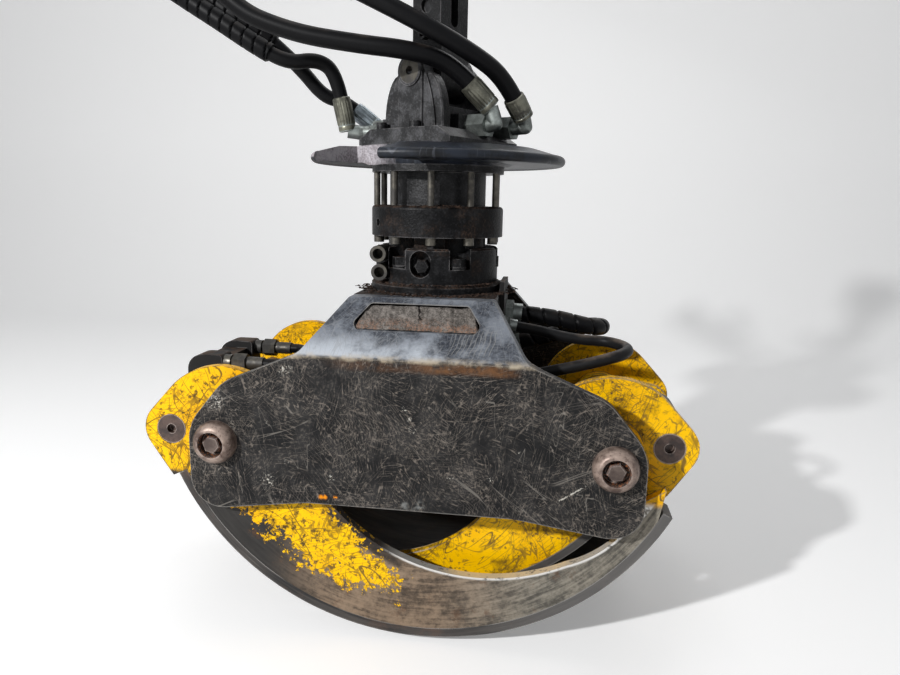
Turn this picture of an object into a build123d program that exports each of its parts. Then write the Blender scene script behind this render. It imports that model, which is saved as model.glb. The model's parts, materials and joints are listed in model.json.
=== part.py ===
from build123d import *
from math import atan2, cos, degrees, radians, sin, tan
import os

os.makedirs("parts", exist_ok=True)

# Timber grapple with its rotator, suspension link and hoses, in millimetres.
# The origin is the crane-tip pin, +X runs along the claws' opening and -Y faces the viewer.
# Heights called "rise" are measured up from the two claw pivots.

# Frame
pivot_half = 280            # claw pivots either side of the middle
frame_half_depth = 225      # outer faces of the two outer frame plates
frame_plate = 15
plate_end = 42              # outer plate beyond each claw pivot
plate_foot = 101            # outer plate below the claw pivots
belly_drop = 84             # shallower lower edge between the pivots
crease_rise = 131           # where the outer plates lean in towards the top
crease_half_width = 158
hood_height = 74            # top face above the crease
top_half_depth = 140        # where the leaning plates meet the top face
top_half_width = 106
top_plate = 15
window_top = 8              # slot in the leaning plate, below the top face
window_depth = 33
window_half_width = 91
inner_gap_half = 58         # inner faces of the two inner frame plates
inner_plate = 12
tower_half = 95             # inner plates where they stand up to the top plate
tower_foot = 50
web_foot = 80               # inner plates below the claw pivots
shelf_drop = 32             # shelf below the top plate's underside
shelf_plate = 8
spreader_half = 95
spreader_rise = 20
spreader_radius = 20

# Claw pivots
pin_radius = 24.95
pin_bore = 25
hub_radius = 45
hub_gap = 1
boss_wall = 7               # plate round a hub where nothing else sets its edge
dome_radius = 31
dome_height = 21
dome_edge = 7               # upright part of the dome's rim
dome_recess = 14
dome_floor = 5              # steel under the bolt head in the dome's recess
bolt_flats = 30
bolt_head = 13

# Claws
lobe_radius = 105
lug_reach = 81              # cylinder pin from its claw pivot
lug_rise = 6
lug_radius = 41
inner_lug_radius = 33
lug_pin_radius = 22
pin_centre_radius = 7
pin_centre_depth = 9
claw_plate = 14
claw_gap = 7                # between the outer frame plates and the wide claw
wide_half = frame_half_depth - frame_plate - claw_gap
claw_pass = 39              # between the wide claw's side plates and the narrow claw's
narrow_half = wide_half - claw_plate - claw_pass
lug_plate_half = 96         # outer faces of the lug plates beside the cylinder
lug_plate = 14
wide_centre = (8, 106)
wide_radius = 398
wide_wear = 14
wide_gap = 8                # either side of the narrow claw where it passes through
narrow_centre = (0, 104)
shell_gap = 28              # between the wide claw's wear strips and the narrow claw's shell
narrow_radius = wide_radius - wide_wear - shell_gap
narrow_shell = 12

# Cylinder
barrel_radius = 47.5
barrel_bore = 40
rod_radius = 25
rod_bore = 25.05
gland_length = 30
gland_setback = 45          # barrel's open end behind the closed cylinder's stroke
eye_radius = 35
eye_half = 30
eye_gap = 6                 # each lug pin stub stops this far from the eye
stroke = 248.5
barrel_back = 31            # barrel's closed end behind its pin
port_front = 21             # port housings, from the cylinder pin to their front face
port_back = 39
port_height = 84
port_inner = 40
port_outer = 76
port_nut_flats = 27
tube_radius = 9             # steel hose ends
loop_radius = 8.5           # hoses between the cylinder and the rotator

# Rotator
base_height = 84            # rotator base above the frame's top face
turn_gap = 0.5
flange_radius = 105
flange_height = 14
flange_bolts = 6
flange_bolt_circle = 86
flange_bolt_flats = 24
bolt_boss_radius = 14.5
bolt_boss_height = 30
neck_radius = 61
neck_top_radius = 78
neck_top_height = 22
rib_half = 7
collar_radius = 104.5
collar_height = 46.5
collar_lip = 6
collar_hole_radius = 6
collar_hole_turn = -142
rod_circle = 97
tie_rods = 10
tie_rod_turn = 21
tie_rod_radius = 5
tie_head_radius = 8
tie_head_height = 11
stator_height = 60
stator_radius = 76
stator_flange_radius = 104
stator_flange = 10
umbrella_radius = 198
umbrella_rim = 8            # rim's upright edge
umbrella_height = 30
crown_radius = 110
hollow_radius = 118         # shallow hollow under the umbrella, outside the stator's flange
hollow_depth = 4
notch_width = 145           # the rim is cut back flush with the head block's front face
notch_middle = -22

# Head and link
head_turn = 30              # the head stands turned clockwise, seen from above
block_half_width = 90
block_half_depth = 86
block_shoulder = 24         # width lost at the sloping top corners
block_drop = 15
block_height = 23           # block above the umbrella's crown
ear_height = 82             # head pin above the block
ear_outer = 66
ear_thick = 21
ear_foot_half = 46
ear_radius = 24
ear_boss_radius = 16
ear_boss = 6
saddle_height = 34
head_pin_radius = 17.95
head_pin_bore = 18
grease_radius = 6
tongue_half = 40
tongue_radius = 36
link_length = 240           # crane-tip pin down to the head pin
link_half_width = 27
link_half_depth = 33
crane_bore = 25
crane_hub_radius = 48
crane_hub_half = 55
swing_gap = 5

# Head's hose ports
port_block_face = 58
right_port = 7              # port axes above the block's top face
left_port = 0
nut_flats = 32
elbow_radius = 11
seat_radius = 20            # spot face round each nut
thick_hose = 26
thin_hose = 22

# Hoses that loop out beside the right claw pivot
low_loop = 17
high_loop = 28
bracket_plate = 8
hanger_plate = 6
hanger_width = 40
hanger_foot = 62

lean = degrees(atan2(hood_height, frame_half_depth - top_half_depth))
top_rise = crease_rise + hood_height
collar_rise = top_rise + base_height + turn_gap
stator_rise = collar_rise + collar_height
umbrella_rise = stator_rise + stator_height
crown_rise = umbrella_rise + umbrella_height
block_rise = crown_rise + block_height
head_rise = block_rise + ear_height
right_port_rise = block_rise + right_port
left_port_rise = block_rise + left_port
pivot_z = -(link_length + head_rise)
plate_inner_face = frame_half_depth - frame_plate
inner_outer_face = inner_gap_half + inner_plate
lug_x = pivot_half + lug_reach
side_dir = (cos(radians(head_turn)), -sin(radians(head_turn)), 0)
pin_dir = (-sin(radians(head_turn)), -cos(radians(head_turn)), 0)


def front_at(y):
    """Upright plane facing the viewer, its height measured from the claw pivots."""
    return Plane(origin=(0, y, pivot_z), x_dir=(1, 0, 0), z_dir=(0, -1, 0))


def level_at(rise):
    """Level plane at a height above the claw pivots."""
    return Plane(origin=(0, 0, pivot_z + rise), x_dir=(1, 0, 0), z_dir=(0, 0, 1))


def section_at(x):
    """Upright plane across the frame, x_dir towards the back."""
    return Plane(origin=(x, 0, pivot_z), x_dir=(0, 1, 0), z_dir=(1, 0, 0))


def head_level(rise):
    """Level plane turned with the head."""
    return Plane(origin=(0, 0, pivot_z + rise), x_dir=side_dir, z_dir=(0, 0, 1))


def head_front(reach):
    """Upright plane across the head pin, its height measured from the claw pivots."""
    return Plane(origin=(pin_dir[0] * reach, pin_dir[1] * reach, pivot_z), x_dir=side_dir, z_dir=pin_dir)


def head_flank(reach):
    """Upright plane across the crane-tip pin, its height measured from the claw pivots."""
    return Plane(origin=(side_dir[0] * reach, side_dir[1] * reach, pivot_z),
                 x_dir=(-pin_dir[0], -pin_dir[1], 0), z_dir=side_dir)


def head_point(side, forward, rise):
    """Point given along the crane-tip pin, along the head pin and up from the claw pivots."""
    return (side * side_dir[0] + forward * pin_dir[0], side * side_dir[1] + forward * pin_dir[1], rise)


def raised(x, y, rise):
    """Point of the model from a point whose height is measured from the claw pivots."""
    return Vector(x, y, pivot_z + rise)


def finish(part, name):
    part.label = name
    export_step(part, f"parts/{name}.step")


def on_circle(centre, radius, angle):
    return (centre[0] + radius * cos(radians(angle)), centre[1] + radius * sin(radians(angle)))


def mirrored(points):
    """Right half of a closed outline, followed by its mirror image."""
    return points + [(-x, z) for x, z in reversed(points)]


def bar(start, end, radius):
    """Round bar between two points."""
    start, end = raised(*start), raised(*end)
    with BuildPart() as piece:
        with BuildSketch(Plane(origin=start, z_dir=end - start)):
            Circle(radius)
        extrude(amount=(end - start).length)
    return piece.part


def hex_bar(start, end, flats):
    """Six-sided bar between two points, measured across its flats."""
    start, end = raised(*start), raised(*end)
    with BuildPart() as piece:
        with BuildSketch(Plane(origin=start, z_dir=end - start)):
            RegularPolygon(flats / 2, 6, major_radius=False)
        extrude(amount=(end - start).length)
    return piece.part


def bend_radii(route):
    """At each inner point, 0.45 of the shorter run over the tangent of half the turn."""
    radii = []
    for before, here, after in zip(route, route[1:], route[2:]):
        turn = (here - before).get_angle(after - here)
        run = min((here - before).length, (after - here).length)
        radii.append(0.45 * run / tan(radians(turn / 2)))
    return radii


def elbow(points, radius):
    """Round bars end to end with a ball at each corner."""
    with BuildPart() as piece:
        for start, end in zip(points, points[1:]):
            add(bar(start, end, radius))
        for corner in points[1:-1]:
            with Locations(raised(*corner)):
                Sphere(radius)
    return piece.part


def tube(points, radius):
    """Tube along straight runs joined by tangent arcs, with its tightest bend."""
    route = [raised(*point) for point in points]
    radii = bend_radii(route)
    with BuildPart() as piece:
        with BuildLine():
            centre = FilletPolyline(*route, radius=radii)
        with BuildSketch(Plane(origin=centre @ 0, z_dir=centre % 0)):
            Circle(radius)
        sweep()
    return piece.part, min(radii)


# Outer frame plates: one bent plate each, its section crossed with its outline
lean_run = tan(radians(lean))
inner_fold_rise = crease_rise - frame_plate * tan(radians((90 - lean) / 2))


def lean_depth(rise):
    """Depth of the leaning plate's inner face at a height, from the middle."""
    return plate_inner_face - (rise - inner_fold_rise) / lean_run


outline_corners = [       # x, rise, radius
    (pivot_half - 130, -belly_drop, 200),
    (pivot_half - 8, -plate_foot, 60),
    (pivot_half + plate_end, -plate_foot, 44),
    (pivot_half + plate_end, 22, 70),
    (pivot_half - 12, 88, 60),
    (crease_half_width, crease_rise + 3, 30),
    (top_half_width, top_rise, 6),
]
window_corners = [        # x, rise, radius
    (window_half_width - 7, top_rise - window_top - window_depth, 8),
    (window_half_width, top_rise - window_top - window_depth + 9, 6),
    (window_half_width - 20, top_rise - window_top, 8),
]

for side, sign in (("front", 1), ("rear", -1)):
    with BuildPart() as outer_plate:
        with BuildSketch(section_at(0)) as bent_section:
            with BuildLine():
                Polyline(
                    (-frame_half_depth, -plate_foot - frame_plate),
                    (-frame_half_depth, crease_rise),
                    (-top_half_depth, top_rise),
                    (-lean_depth(top_rise), top_rise),
                    (-plate_inner_face, inner_fold_rise),
                    (-plate_inner_face, -plate_foot - frame_plate),
                    close=True,
                )
            make_face()
        extrude(amount=pivot_half + 2 * plate_end, both=True)
        with BuildSketch(front_at(0)) as outline:
            with BuildLine():
                FilletPolyline(
                    *mirrored([(x, rise) for x, rise, radius in outline_corners]),
                    radius=[c[2] for c in outline_corners] + [c[2] for c in reversed(outline_corners)],
                    close=True,
                )
            make_face()
            with BuildLine():
                FilletPolyline(
                    *mirrored([(x, rise) for x, rise, radius in window_corners]),
                    radius=[c[2] for c in window_corners] + [c[2] for c in reversed(window_corners)],
                    close=True,
                )
            make_face(mode=Mode.SUBTRACT)
            with Locations((-pivot_half, 0), (pivot_half, 0)):
                Circle(pin_bore, mode=Mode.SUBTRACT)
        extrude(amount=2 * frame_half_depth, mode=Mode.INTERSECT)
    plate = outer_plate.part if sign > 0 else outer_plate.part.mirror(Plane.XZ)
    finish(plate, f"frame_{side}_plate")

# Inner frame plates, either side of the cylinder, low enough for the lug pins to swing over
inner_corners = [         # x, rise
    (pivot_half - 80, -web_foot),
    (pivot_half - hub_radius, -web_foot + 20),
    (pivot_half - hub_radius, 18),
    (pivot_half - 108, 30),
    (tower_half, tower_foot),
    (tower_half - 10, top_rise - top_plate),
]
for side, sign in (("front", 1), ("rear", -1)):
    with BuildPart() as inner:
        with BuildSketch(front_at(sign * -inner_gap_half)):
            with BuildLine():
                Polyline(*mirrored(inner_corners), close=True)
            make_face()
            with Locations((-pivot_half, 0), (pivot_half, 0)):
                Circle(hub_radius + boss_wall)
                Circle(pin_bore, mode=Mode.SUBTRACT)
        extrude(amount=sign * inner_plate)
    finish(inner.part, f"inner_{side}_plate")

# Top plate, seated between the leaning plates
with BuildPart() as top:
    with BuildSketch(section_at(0)):
        with BuildLine():
            Polyline(*mirrored([(lean_depth(rise), rise) for rise in (top_rise, top_rise - top_plate)]), close=True)
        make_face()
    extrude(amount=top_half_width, both=True)
finish(top.part, "frame_top_plate")

# Shelves that tie the inner plates to the leaning ones, with the hood's closing plates on them
shelf_rise = top_rise - top_plate - shelf_drop
with BuildPart() as shelves:
    for sign in (-1, 1):
        with BuildSketch(section_at(0)):
            with BuildLine():
                Polyline(
                    (sign * inner_outer_face, shelf_rise),
                    (sign * inner_outer_face, shelf_rise - shelf_plate),
                    (sign * lean_depth(shelf_rise - shelf_plate), shelf_rise - shelf_plate),
                    (sign * lean_depth(shelf_rise), shelf_rise),
                    close=True,
                )
            make_face()
        extrude(amount=top_half_width, both=True)
finish(shelves.part, "frame_shelves")

with BuildPart() as flanks:
    for end in (-1, 1):
        for sign in (-1, 1):
            with BuildSketch(section_at(end * top_half_width)):
                with BuildLine():
                    Polyline(
                        (sign * inner_outer_face, shelf_rise),
                        (sign * lean_depth(shelf_rise), shelf_rise),
                        (sign * lean_depth(top_rise - top_plate), top_rise - top_plate),
                        (sign * inner_outer_face, top_rise - top_plate),
                        close=True,
                    )
                make_face()
            extrude(amount=-end * shelf_plate)
finish(flanks.part, "hood_flanks")

with BuildPart() as spreaders:
    for start in (-plate_inner_face, inner_outer_face):
        with BuildSketch(front_at(start)):
            with Locations((-spreader_half, spreader_rise), (spreader_half, spreader_rise)):
                Circle(spreader_radius)
        extrude(amount=-(plate_inner_face - inner_outer_face))
finish(spreaders.part, "frame_spreaders")

# Pivot pins with their domed end caps and bolt heads
for name, sign in (("left", -1), ("right", 1)):
    with BuildPart() as pivot_pins:
        for end in (-1, 1):
            with BuildSketch(front_at(end * inner_gap_half)):
                with Locations((sign * pivot_half, 0)):
                    Circle(pin_radius)
            extrude(amount=-end * (frame_half_depth - inner_gap_half))
            foot = Vector(sign * pivot_half, end * frame_half_depth, pivot_z)
            with BuildSketch(Plane(origin=foot, x_dir=(1, 0, 0), z_dir=(0, 0, end))):
                with BuildLine():
                    Polyline((0, 0), (dome_radius, 0), (dome_radius, dome_edge))
                    ThreePointArc(
                        (dome_radius, dome_edge),
                        (dome_radius - 4, dome_height - 6),
                        (dome_recess + 5, dome_height),
                    )
                    Polyline(
                        (dome_recess + 5, dome_height),
                        (dome_recess, dome_height - 3),
                        (dome_recess, dome_floor),
                        (0, dome_floor),
                        (0, 0),
                    )
                make_face()
            revolve(axis=Axis(foot, (0, 1, 0)))
            with BuildSketch(Plane(origin=foot, x_dir=(1, 0, 0), z_dir=(0, end, 0)).offset(dome_floor)):
                RegularPolygon(bolt_flats / 2, 6, major_radius=False)
            extrude(amount=bolt_head)
    finish(pivot_pins.part, f"{name}_pivot_pins")


def claw_lug(hand, lobe, boss):
    """Sketch of the lug: a lobe round the pivot run out to the boss round the cylinder pin."""
    with BuildSketch() as lug:
        with Locations((hand * pivot_half, 0)):
            Circle(lobe)
        with Locations((hand * lug_x, lug_rise)):
            Circle(boss)
        make_hull()
    return lug.sketch


def ring_sector(centre, outer, inner, start, end):
    """Sketch of a curved strip between two angles."""
    middle = (start + end) / 2
    with BuildSketch() as strip:
        with BuildLine():
            ThreePointArc(*(on_circle(centre, outer, angle) for angle in (start, middle, end)))
            Line(on_circle(centre, outer, end), on_circle(centre, inner, end))
            ThreePointArc(*(on_circle(centre, inner, angle) for angle in (end, middle, start)))
            Line(on_circle(centre, inner, start), on_circle(centre, outer, start))
        make_face()
    return strip.sketch


def claw_band(centre, edge, start, end, inside):
    """Sketch of a claw's curved side: its outer arc, then inner points as (angle, depth, arc)."""
    points = [on_circle(centre, edge - depth, angle) for angle, depth, arc in inside]
    with BuildSketch() as band:
        with BuildLine():
            ThreePointArc(*(on_circle(centre, edge, angle) for angle in (start, (start + end) / 2, end)))
            last = on_circle(centre, edge, end)
            middle = None
            for point, (angle, depth, arc) in zip(points, inside):
                if arc:
                    middle = point
                elif middle:
                    ThreePointArc(last, middle, point)
                    last, middle = point, None
                else:
                    Line(last, point)
                    last = point
            Line(last, on_circle(centre, edge, start))
        make_face()
    return band.sketch


# Inner edge of each claw's side: angle, depth in from the outer edge, and whether an arc runs through it
wide_edge = wide_radius - wide_wear
narrow_edge = narrow_radius - narrow_shell
wide_inside = [
    (337.6, 11.9, False),
    (333.1, 30.7, False),
    (320.6, 28.0, True),
    (309.1, 43.5, False),
    (286.4, 76.4, True),
    (235.0, 150.8, False),
    (204.8, 179.1, False),
    (196.6, 83.5, False),
]
narrow_inside = [
    (216.3, 26.0, False),
    (236.8, 33.3, True),
    (258.7, 38.1, False),
    (277.3, 67.8, True),
    (295.9, 106.1, False),
    (337.7, 149.5, False),
    (343.3, 51.7, False),
]
claws = [                 # name, hand, outer face, band
    ("left", -1, wide_half, claw_band(wide_centre, wide_edge, 205, 331, wide_inside)),
    ("right", 1, narrow_half, claw_band(narrow_centre, narrow_edge, 328, 213, narrow_inside)),
]
trims = {
    "left": ring_sector(wide_centre, wide_radius + lobe_radius, wide_edge, 205, 331),
    "right": ring_sector(narrow_centre, narrow_radius + lobe_radius, narrow_edge, 212, 328),
}
hub_outer = plate_inner_face - hub_gap
hub_inner = inner_outer_face + hub_gap
for name, hand, outer, band in claws:
    for side, start in (("front", -outer), ("rear", outer - claw_plate)):
        with BuildPart() as claw_side:
            with BuildSketch(front_at(start)):
                add(band)
                add(claw_lug(hand, lobe_radius, lug_radius))
                add(trims[name], mode=Mode.SUBTRACT)
                with Locations((hand * pivot_half, 0)):
                    Circle(hub_radius, mode=Mode.SUBTRACT)
                with Locations((hand * lug_x, lug_rise)):
                    Circle(lug_pin_radius, mode=Mode.SUBTRACT)
            extrude(amount=-claw_plate)
        finish(claw_side.part, f"{name}_claw_{side}_plate")
    with BuildPart() as lugs:
        for start in (-lug_plate_half, lug_plate_half - lug_plate):
            with BuildSketch(front_at(start)):
                add(claw_lug(hand, hub_radius + boss_wall, inner_lug_radius))
                with Locations((hand * pivot_half, 0)):
                    Circle(hub_radius, mode=Mode.SUBTRACT)
                with Locations((hand * lug_x, lug_rise)):
                    Circle(lug_pin_radius, mode=Mode.SUBTRACT)
            extrude(amount=-lug_plate)
    finish(lugs.part, f"{name}_claw_lugs")
    with BuildPart() as hubs:
        for start in (-hub_outer, hub_inner):
            with BuildSketch(front_at(start)):
                with Locations((hand * pivot_half, 0)):
                    Circle(hub_radius)
                    Circle(pin_bore, mode=Mode.SUBTRACT)
            extrude(amount=-(hub_outer - hub_inner))
    finish(hubs.part, f"{name}_claw_hubs")

# Wide claw's wear strips along the outer edge, joined behind the lugs and near the tips
passage = narrow_half + wide_gap
with BuildPart() as wear:
    with BuildSketch(front_at(-wide_half)):
        add(ring_sector(wide_centre, wide_radius, wide_edge, 205, 333))
    extrude(amount=-2 * wide_half)
    with BuildSketch(front_at(-passage)):
        for start, end in ((214, 300), (318, 336)):
            add(ring_sector(wide_centre, wide_radius + wide_wear, wide_edge - wide_wear, start, end))
    extrude(amount=-2 * passage, mode=Mode.SUBTRACT)
finish(wear.part, "left_claw_wear_strips")

with BuildPart() as shell:
    with BuildSketch(front_at(-narrow_half)):
        add(ring_sector(narrow_centre, narrow_radius, narrow_edge, 212, 328))
    extrude(amount=-2 * narrow_half)
finish(shell.part, "right_claw_shell")

# Cylinder pins: one through the left lugs, two stubs in the right ones
pin_spans = [             # name, hand, spans from front to back
    ("left_lug_pin", -1, [(-wide_half, wide_half)]),
    ("right_lug_pins", 1, [(-narrow_half, -eye_half - eye_gap), (eye_half + eye_gap, narrow_half)]),
]
for name, hand, spans in pin_spans:
    with BuildPart() as lug_pin:
        for start, end in spans:
            add(bar((hand * lug_x, start, lug_rise), (hand * lug_x, end, lug_rise), lug_pin_radius))
        for start, end in ((spans[0][0], spans[0][0] + pin_centre_depth), (spans[-1][1], spans[-1][1] - pin_centre_depth)):
            add(bar((hand * lug_x, start, lug_rise), (hand * lug_x, end, lug_rise), pin_centre_radius),
                mode=Mode.SUBTRACT)
    finish(lug_pin.part, name)

# Cylinder barrel with its two port housings, then its gland and rod
barrel_end = lug_x - stroke - gland_setback
barrel_start = -lug_x - barrel_back
with BuildPart() as barrel:
    add(bar((barrel_start, 0, lug_rise), (barrel_end, 0, lug_rise), barrel_radius))
    chamfer(barrel.faces().sort_by(Axis.X)[0].edges(), 8)
    for sign in (-1, 1):
        with BuildSketch(front_at(sign * port_inner)):
            with BuildLine():
                FilletPolyline(
                    (-lug_x - port_back, lug_rise + 12),
                    (-lug_x - port_back, lug_rise + port_height),
                    (-lug_x + port_front, lug_rise + port_height),
                    (-lug_x + port_front, lug_rise + 12),
                    radius=[26, 6],
                )
                Line((-lug_x + port_front, lug_rise + 12), (-lug_x - port_back, lug_rise + 12))
            make_face()
        extrude(amount=-sign * (port_outer - port_inner))
        with BuildSketch(front_at(sign * port_inner)):
            with Locations((-lug_x - 9, lug_rise + port_height - 24)):
                Rectangle(port_front + port_back - 18, 24)
        extrude(amount=sign * port_inner)
    add(bar((barrel_start + 18, 0, lug_rise), (barrel_end, 0, lug_rise), barrel_radius - 1))
    add(bar((-lug_x + eye_half + 10, 0, lug_rise), (barrel_end, 0, lug_rise), barrel_bore), mode=Mode.SUBTRACT)
    add(bar((-lug_x, -port_outer - 1, lug_rise), (-lug_x, port_outer + 1, lug_rise), lug_pin_radius + 0.05),
        mode=Mode.SUBTRACT)
finish(barrel.part, "cylinder_barrel")

with BuildPart() as gland:
    add(bar((barrel_end - gland_length, 0, lug_rise), (barrel_end, 0, lug_rise), barrel_bore))
    add(bar((barrel_end - gland_length, 0, lug_rise), (barrel_end, 0, lug_rise), rod_bore), mode=Mode.SUBTRACT)
finish(gland.part, "cylinder_gland")

with BuildPart() as rod:
    add(bar((barrel_end - 70, 0, lug_rise), (lug_x, 0, lug_rise), rod_radius))
    add(bar((lug_x, -eye_half, lug_rise), (lug_x, eye_half, lug_rise), eye_radius))
    add(bar((lug_x, -eye_half, lug_rise), (lug_x, eye_half, lug_rise), lug_pin_radius + 0.5), mode=Mode.SUBTRACT)
finish(rod.part, "piston_rod")

# Hose ends screwed into the port housings, and the hoses that run along the barrel to a clamp
port_face = -lug_x + port_front
port_axis = lug_rise + port_height - port_nut_flats / 2
port_y = port_outer - port_nut_flats / 2
ferrule_reach = 66
clamp_run = 131.5           # clamp past the ferrules
clamp_start = port_face + ferrule_reach + clamp_run
clamp_length = 34
clamp_y = 30
clamp_rise = lug_rise + barrel_radius + loop_radius + 4
with BuildPart() as barrel_fittings:
    for sign in (-1, 1):
        spots = [(port_face + reach, sign * port_y, port_axis) for reach in (0, 12, 16, 38, ferrule_reach)]
        add(bar(spots[0], spots[1], port_nut_flats / 2 - 1))
        add(bar(spots[1], spots[2], tube_radius))
        add(hex_bar(spots[2], spots[3], port_nut_flats))
        add(bar(spots[3], spots[4], tube_radius + 1.5))
finish(barrel_fittings.part, "cylinder_hose_ends")

for side, sign in (("front", -1), ("rear", 1)):
    route = [
        (port_face + ferrule_reach, sign * port_y, port_axis),
        (port_face + ferrule_reach + 16, sign * port_y, port_axis),
        (port_face + ferrule_reach + 42, sign * 42, port_axis - 2),
        (port_face + ferrule_reach + 78, sign * clamp_y, clamp_rise),
        (clamp_start, sign * clamp_y, clamp_rise),
    ]
    barrel_hose, tightest = tube(route, loop_radius)
    print(f"cylinder_{side}_hose tightest bend {tightest:.0f} mm")
    finish(barrel_hose, f"cylinder_{side}_hose")

with BuildPart() as clamp:
    with BuildSketch(section_at(clamp_start)):
        with Locations((0, clamp_rise - 1)):
            RectangleRounded(2 * clamp_y + 4 * loop_radius, 2 * loop_radius + 8, 6)
        with Locations((0, lug_rise)):
            Circle(barrel_radius, mode=Mode.SUBTRACT)
    extrude(amount=clamp_length)
finish(clamp.part, "cylinder_hose_clamp")

# Rotator base: bolted flange, neck and ribs that stand as arches between the bolts
base_rise = top_rise
with BuildPart() as rotor:
    with BuildSketch(Plane(origin=(0, 0, pivot_z), x_dir=(1, 0, 0), z_dir=(0, -1, 0))):
        with BuildLine():
            Polyline(
                (0, base_rise),
                (flange_radius, base_rise),
                (flange_radius, base_rise + flange_height - 4),
                (flange_radius - 4, base_rise + flange_height),
                (neck_radius, base_rise + flange_height + 6),
                (neck_radius, collar_rise - turn_gap - neck_top_height - 8),
                (neck_top_radius, collar_rise - turn_gap - neck_top_height),
                (neck_top_radius, collar_rise - turn_gap),
                (0, collar_rise - turn_gap),
                close=True,
            )
        make_face()
    revolve(axis=Axis((0, 0, 0), (0, 0, 1)))
    with BuildSketch(level_at(base_rise + flange_height / 2)):
        with PolarLocations((neck_radius + neck_top_radius) / 2 - 4, flange_bolts, start_angle=180 / flange_bolts):
            Rectangle(neck_top_radius - neck_radius + 6, 2 * rib_half)
    extrude(amount=base_height - flange_height / 2 - neck_top_height / 2)
    with BuildSketch(level_at(base_rise + flange_height / 2)):
        with PolarLocations(flange_bolt_circle, flange_bolts):
            Circle(bolt_boss_radius)
    extrude(amount=bolt_boss_height)
finish(rotor.part, "rotator_base")

boss_top = base_rise + flange_height / 2 + bolt_boss_height
with BuildPart() as flange_bolt_heads:
    with BuildSketch(level_at(boss_top)):
        with PolarLocations(flange_bolt_circle, flange_bolts):
            Circle(flange_bolt_flats / 2 + 2)
    extrude(amount=4)
    with BuildSketch(level_at(boss_top + 4)):
        with PolarLocations(flange_bolt_circle, flange_bolts):
            RegularPolygon(flange_bolt_flats / 2, 6, major_radius=False)
    extrude(amount=13)
finish(flange_bolt_heads.part, "flange_bolts")

# Spare ports of the rotary feed: two open sleeves and a port block on the right
with BuildPart() as sleeves:
    for x, rise in ((-78, base_rise + 58), (-76, base_rise + 30)):
        add(bar((x, -84, rise), (x, -30, rise), 12.5))
        add(bar((x, -84, rise), (x, -50, rise), 8), mode=Mode.SUBTRACT)
    add(bar((0, 0, base_rise - 1), (0, 0, collar_rise), neck_top_radius + 0.01), mode=Mode.SUBTRACT)
    for angle in range(flange_bolts):
        x, y = on_circle((0, 0), flange_bolt_circle, angle * 360 / flange_bolts)
        add(bar((x, y, base_rise), (x, y, collar_rise), flange_bolt_flats / 2 + 5), mode=Mode.SUBTRACT)
finish(sleeves.part, "rotator_sleeves")

with BuildPart() as collar:
    with BuildSketch(level_at(collar_rise)):
        Circle(collar_radius)
    extrude(amount=collar_height)
    fillet(collar.faces().sort_by(Axis.Z)[-1].edges(), collar_lip)
    hole_dir = on_circle((0, 0), 1, collar_hole_turn)
    start = (hole_dir[0] * (collar_radius + 2), hole_dir[1] * (collar_radius + 2), collar_rise + collar_height / 2 - 3)
    end = (hole_dir[0] * (collar_radius - 14), hole_dir[1] * (collar_radius - 14), collar_rise + collar_height / 2 - 3)
    add(bar(start, end, collar_hole_radius), mode=Mode.SUBTRACT)
finish(collar.part, "rotator_collar")

with BuildPart() as stator:
    with BuildSketch(level_at(stator_rise)):
        Circle(stator_radius)
    extrude(amount=stator_height)
    with BuildSketch(level_at(umbrella_rise - stator_flange)):
        Circle(stator_flange_radius)
    extrude(amount=stator_flange)
finish(stator.part, "rotator_stator")

tie_span = stator_height - stator_flange
with BuildPart() as tie:
    for rise, height, radius in (
        (stator_rise, tie_span, tie_rod_radius),
        (collar_rise - tie_head_height, tie_head_height, tie_head_radius),
    ):
        with BuildSketch(level_at(rise)):
            with PolarLocations(rod_circle - (radius - tie_rod_radius), tie_rods, start_angle=tie_rod_turn):
                Circle(radius)
        extrude(amount=height)
finish(tie.part, "rotator_tie_rods")

# Umbrella: a shallow cone with a rounded rim and a hollow underside
rim_rise = umbrella_rise + umbrella_rim
with BuildPart() as umbrella:
    with BuildSketch(Plane(origin=(0, 0, pivot_z), x_dir=(1, 0, 0), z_dir=(0, -1, 0))):
        with BuildLine():
            Polyline(
                (0, umbrella_rise),
                (hollow_radius - 8, umbrella_rise),
                (hollow_radius, umbrella_rise + hollow_depth),
                (umbrella_radius - 16, umbrella_rise + hollow_depth),
                (umbrella_radius - 8, umbrella_rise + 2),
            )
            ThreePointArc(
                (umbrella_radius - 8, umbrella_rise + 2),
                (umbrella_radius, rim_rise),
                (umbrella_radius - 8, rim_rise + 9),
            )
            Polyline(
                (umbrella_radius - 8, rim_rise + 9),
                (crown_radius + 45, crown_rise - 3),
                (crown_radius, crown_rise),
                (0, crown_rise),
                (0, umbrella_rise),
            )
        make_face()
    revolve(axis=Axis((0, 0, 0), (0, 0, 1)))
    with BuildSketch(head_level(umbrella_rise)):
        with Locations((notch_middle, -(block_half_depth + umbrella_radius / 2))):
            Rectangle(notch_width, umbrella_radius)
    extrude(amount=umbrella_height, mode=Mode.SUBTRACT)
finish(umbrella.part, "rotator_umbrella")

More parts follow.
